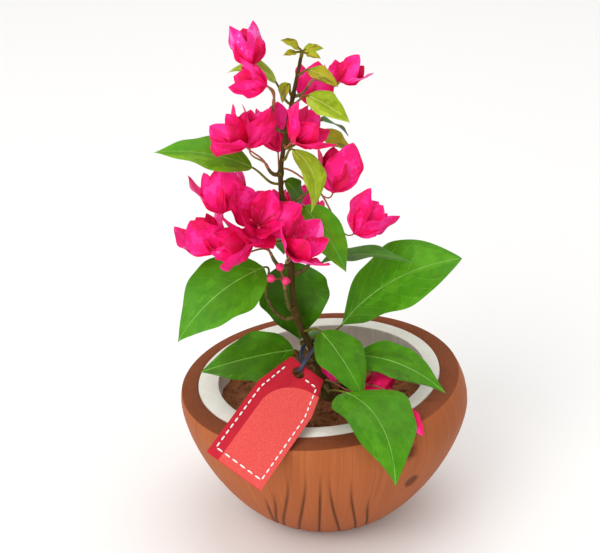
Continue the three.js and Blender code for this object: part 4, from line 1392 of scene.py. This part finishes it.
panel_edge = -0.0098  # where the panel's straight side runs, across from the card's middle line
panel_round = 0.0242
panel_round_steps = 24
panel_top = -0.0054
panel_thickness = 0.00012
panel_sink = 0.00005  # into the card, so that the two are one
panel_outline = [(panel_edge, tag_hole_inset - tag_length)]
for step in range(panel_round_steps + 1):
    turn = math.radians(180 - 90 * step / panel_round_steps)
    across = panel_edge + panel_round + panel_round * math.cos(turn)
    panel_outline.append((across, panel_top - panel_round + panel_round * math.sin(turn)))
panel_outline += [(half_width, tag_hole_inset - tag_head_length), (half_width, tag_hole_inset - tag_length)]
panel_shape = bunch()
layers = [front_side * (tag_thickness / 2 + lift) for lift in (-panel_sink, panel_thickness)]
count = len(panel_outline)
panel_points = [tag_frame @ Vector((x, y, z)) for z in layers for x, y in panel_outline]
panel_faces = [list(range(count)), list(range(2 * count - 1, count - 1, -1))]
panel_faces += [[i, (i + 1) % count, count + (i + 1) % count, count + i][::-1] for i in range(count)]
add_shape(panel_shape, panel_points, panel_faces)
# A lighter copy of the card's red: painted light on the card's face.
coral_painted_light = mottled(
    "tag_coral_painted_light", 0xE5544F, 0.6, 1100, [(0.3, 0xDC4A45), (0.55, 0xE5544F), (0.8, 0xEC6661)],
    (0.0001, 0.5), Specular_IOR_Level=0.2)
panel = joined("tag_panel", panel_shape, [coral_painted_light], 30)
facing_outwards()
settled(panel, "card")

# The tag's stitching: a running stitch of white thread, whose long stitches lie on the front and
# short ones on the back. It breaks off at the hole.
stitch_line = [
    (-0.0100, -0.0014), (-0.0145, -0.022), (-0.0145, -0.069), (0.0144, -0.069), (0.0144, -0.022),
    (0.0103, -0.0014),
]
stitch_long, stitch_short, thread_radius = 0.0030, 0.0015, 0.00045
stitch_steps = 8
stitch_lift, stitch_bow = 0.0001, 0.0002  # off the card at a stitch's ends, and more in its middle
hole_clearance = 0.0012
hole_centre = Vector((tag_hole_aside, 0, 0))
stitches = bunch()
corners = [Vector((*corner, 0)) for corner in stitch_line]
for first, second in zip(corners, corners[1:] + corners[:1]):
    side_length = (second - first).length
    count = max(1, round(side_length / (stitch_long + stitch_short)))
    pitch = side_length / count
    run = (second - first).normalized()
    for index in range(count):
        for begin, length, level in (
            (index * pitch + stitch_short / 2, pitch - stitch_short, front_side),
            (index * pitch - stitch_short / 2, stitch_short, -front_side),
        ):
            start_at = first + run * begin
            end_at = first + run * (begin + length)
            nearest = min(
                (place - hole_centre).length for place in (start_at, end_at, (start_at + end_at) / 2))
            if nearest < tag_hole_radius + hole_clearance:
                continue
            line = []
            for step in range(stitch_steps + 1):
                t = step / stitch_steps
                lift = tag_thickness / 2 + stitch_lift + stitch_bow * math.sin(math.pi * t)
                line.append(tag_frame @ (start_at.lerp(end_at, t) + Vector((0, 0, level * lift))))
            add_shape(stitches, *limb(
                line, lambda s: thread_radius * min(1, 0.35 + 3 * s, 0.35 + 3 * (1 - s)), 8))
thread = mottled(
    "thread_white", 0xF6F4F0, 0.7, 2400, [(0.35, 0xE8E4DE), (0.65, 0xFFFFFF)], (0.0002, 0.5), detail=2,
    Sheen_Weight=0.2)
settled(joined("tag_stitches", stitches, [thread], 60), "card")

# The tag's loop: a closed ring of covered wire, slate blue. It bears on the back of the stem and
# on the upper edge of the hole, with a twist between its two ends.
wire_radius = 0.0011
wrap_depth = 0.00005
loop_bend = 0.0043
loop_stem_height = 0.103
loop_place, loop_run, loop_stem_radius = stem_at(loop_stem_height)
away = loop_place - tag_hole
behind = (away - loop_run * away.dot(loop_run)).normalized()
beside = loop_run.cross(behind)
into = -(away - tag_face * away.dot(tag_face)).normalized()
front = tag_face if beside.dot(tag_face) > 0 else -tag_face


def bend_point(centre, outward, side, degrees):
    turn = math.radians(degrees)
    return centre + outward * loop_bend * math.cos(turn) + side * loop_bend * math.sin(turn)


outer_end = loop_place - behind * (loop_bend - wire_radius - loop_stem_radius - contact_gap)
inner_end = tag_hole + into * (-loop_bend - (tag_hole_radius - wire_radius - contact_gap))
loop_route = [bend_point(outer_end, behind, beside, turn) for turn in (90, 45, 0, -45, -90)]
loop_route += [bend_point(inner_end, into, front, turn) for turn in (-90, -45, 0, 45, 90)]
loop_steps, loop_sides, wraps = 220, 14, 70
ring = smooth_route(loop_route, loop_steps, closed=True)[:-1]
ring_frames = steady_frames(ring + ring[:1])
slip = ring_frames[0][1].angle(ring_frames[-1][1])
if ring_frames[0][2].dot(ring_frames[-1][1]) > 0:
    slip = -slip
wire_points = []
for index, point in enumerate(ring):
    _, aside, across = ring_frames[index]
    for side in range(loop_sides):
        turn = 2 * math.pi * side / loop_sides + slip * index / loop_steps
        wrap = math.sin(2 * math.pi * (wraps * index / loop_steps) + 2 * math.pi * side / loop_sides)
        wire_points.append(point + (aside * math.cos(turn) + across * math.sin(turn))
                           * (wire_radius - wrap_depth + wrap_depth * wrap))
wire_faces = [
    [ring_at * loop_sides + side, ring_at * loop_sides + (side + 1) % loop_sides,
     (ring_at + 1) % loop_steps * loop_sides + (side + 1) % loop_sides,
     (ring_at + 1) % loop_steps * loop_sides + side]
    for ring_at in range(loop_steps) for side in range(loop_sides)
]
wire_shape = bunch()
add_shape(wire_shape, wire_points, wire_faces)
covered_wire = mottled(
    "covered_wire_slate", 0x36405C, 0.5, 800, [(0.3, 0x222A44), (0.55, 0x2F3852), (0.8, 0x40496A)],
    (0.0002, 0.4))
settled(joined("tag_loop_wire", wire_shape, [covered_wire], 60), "wire", "tag_loop")
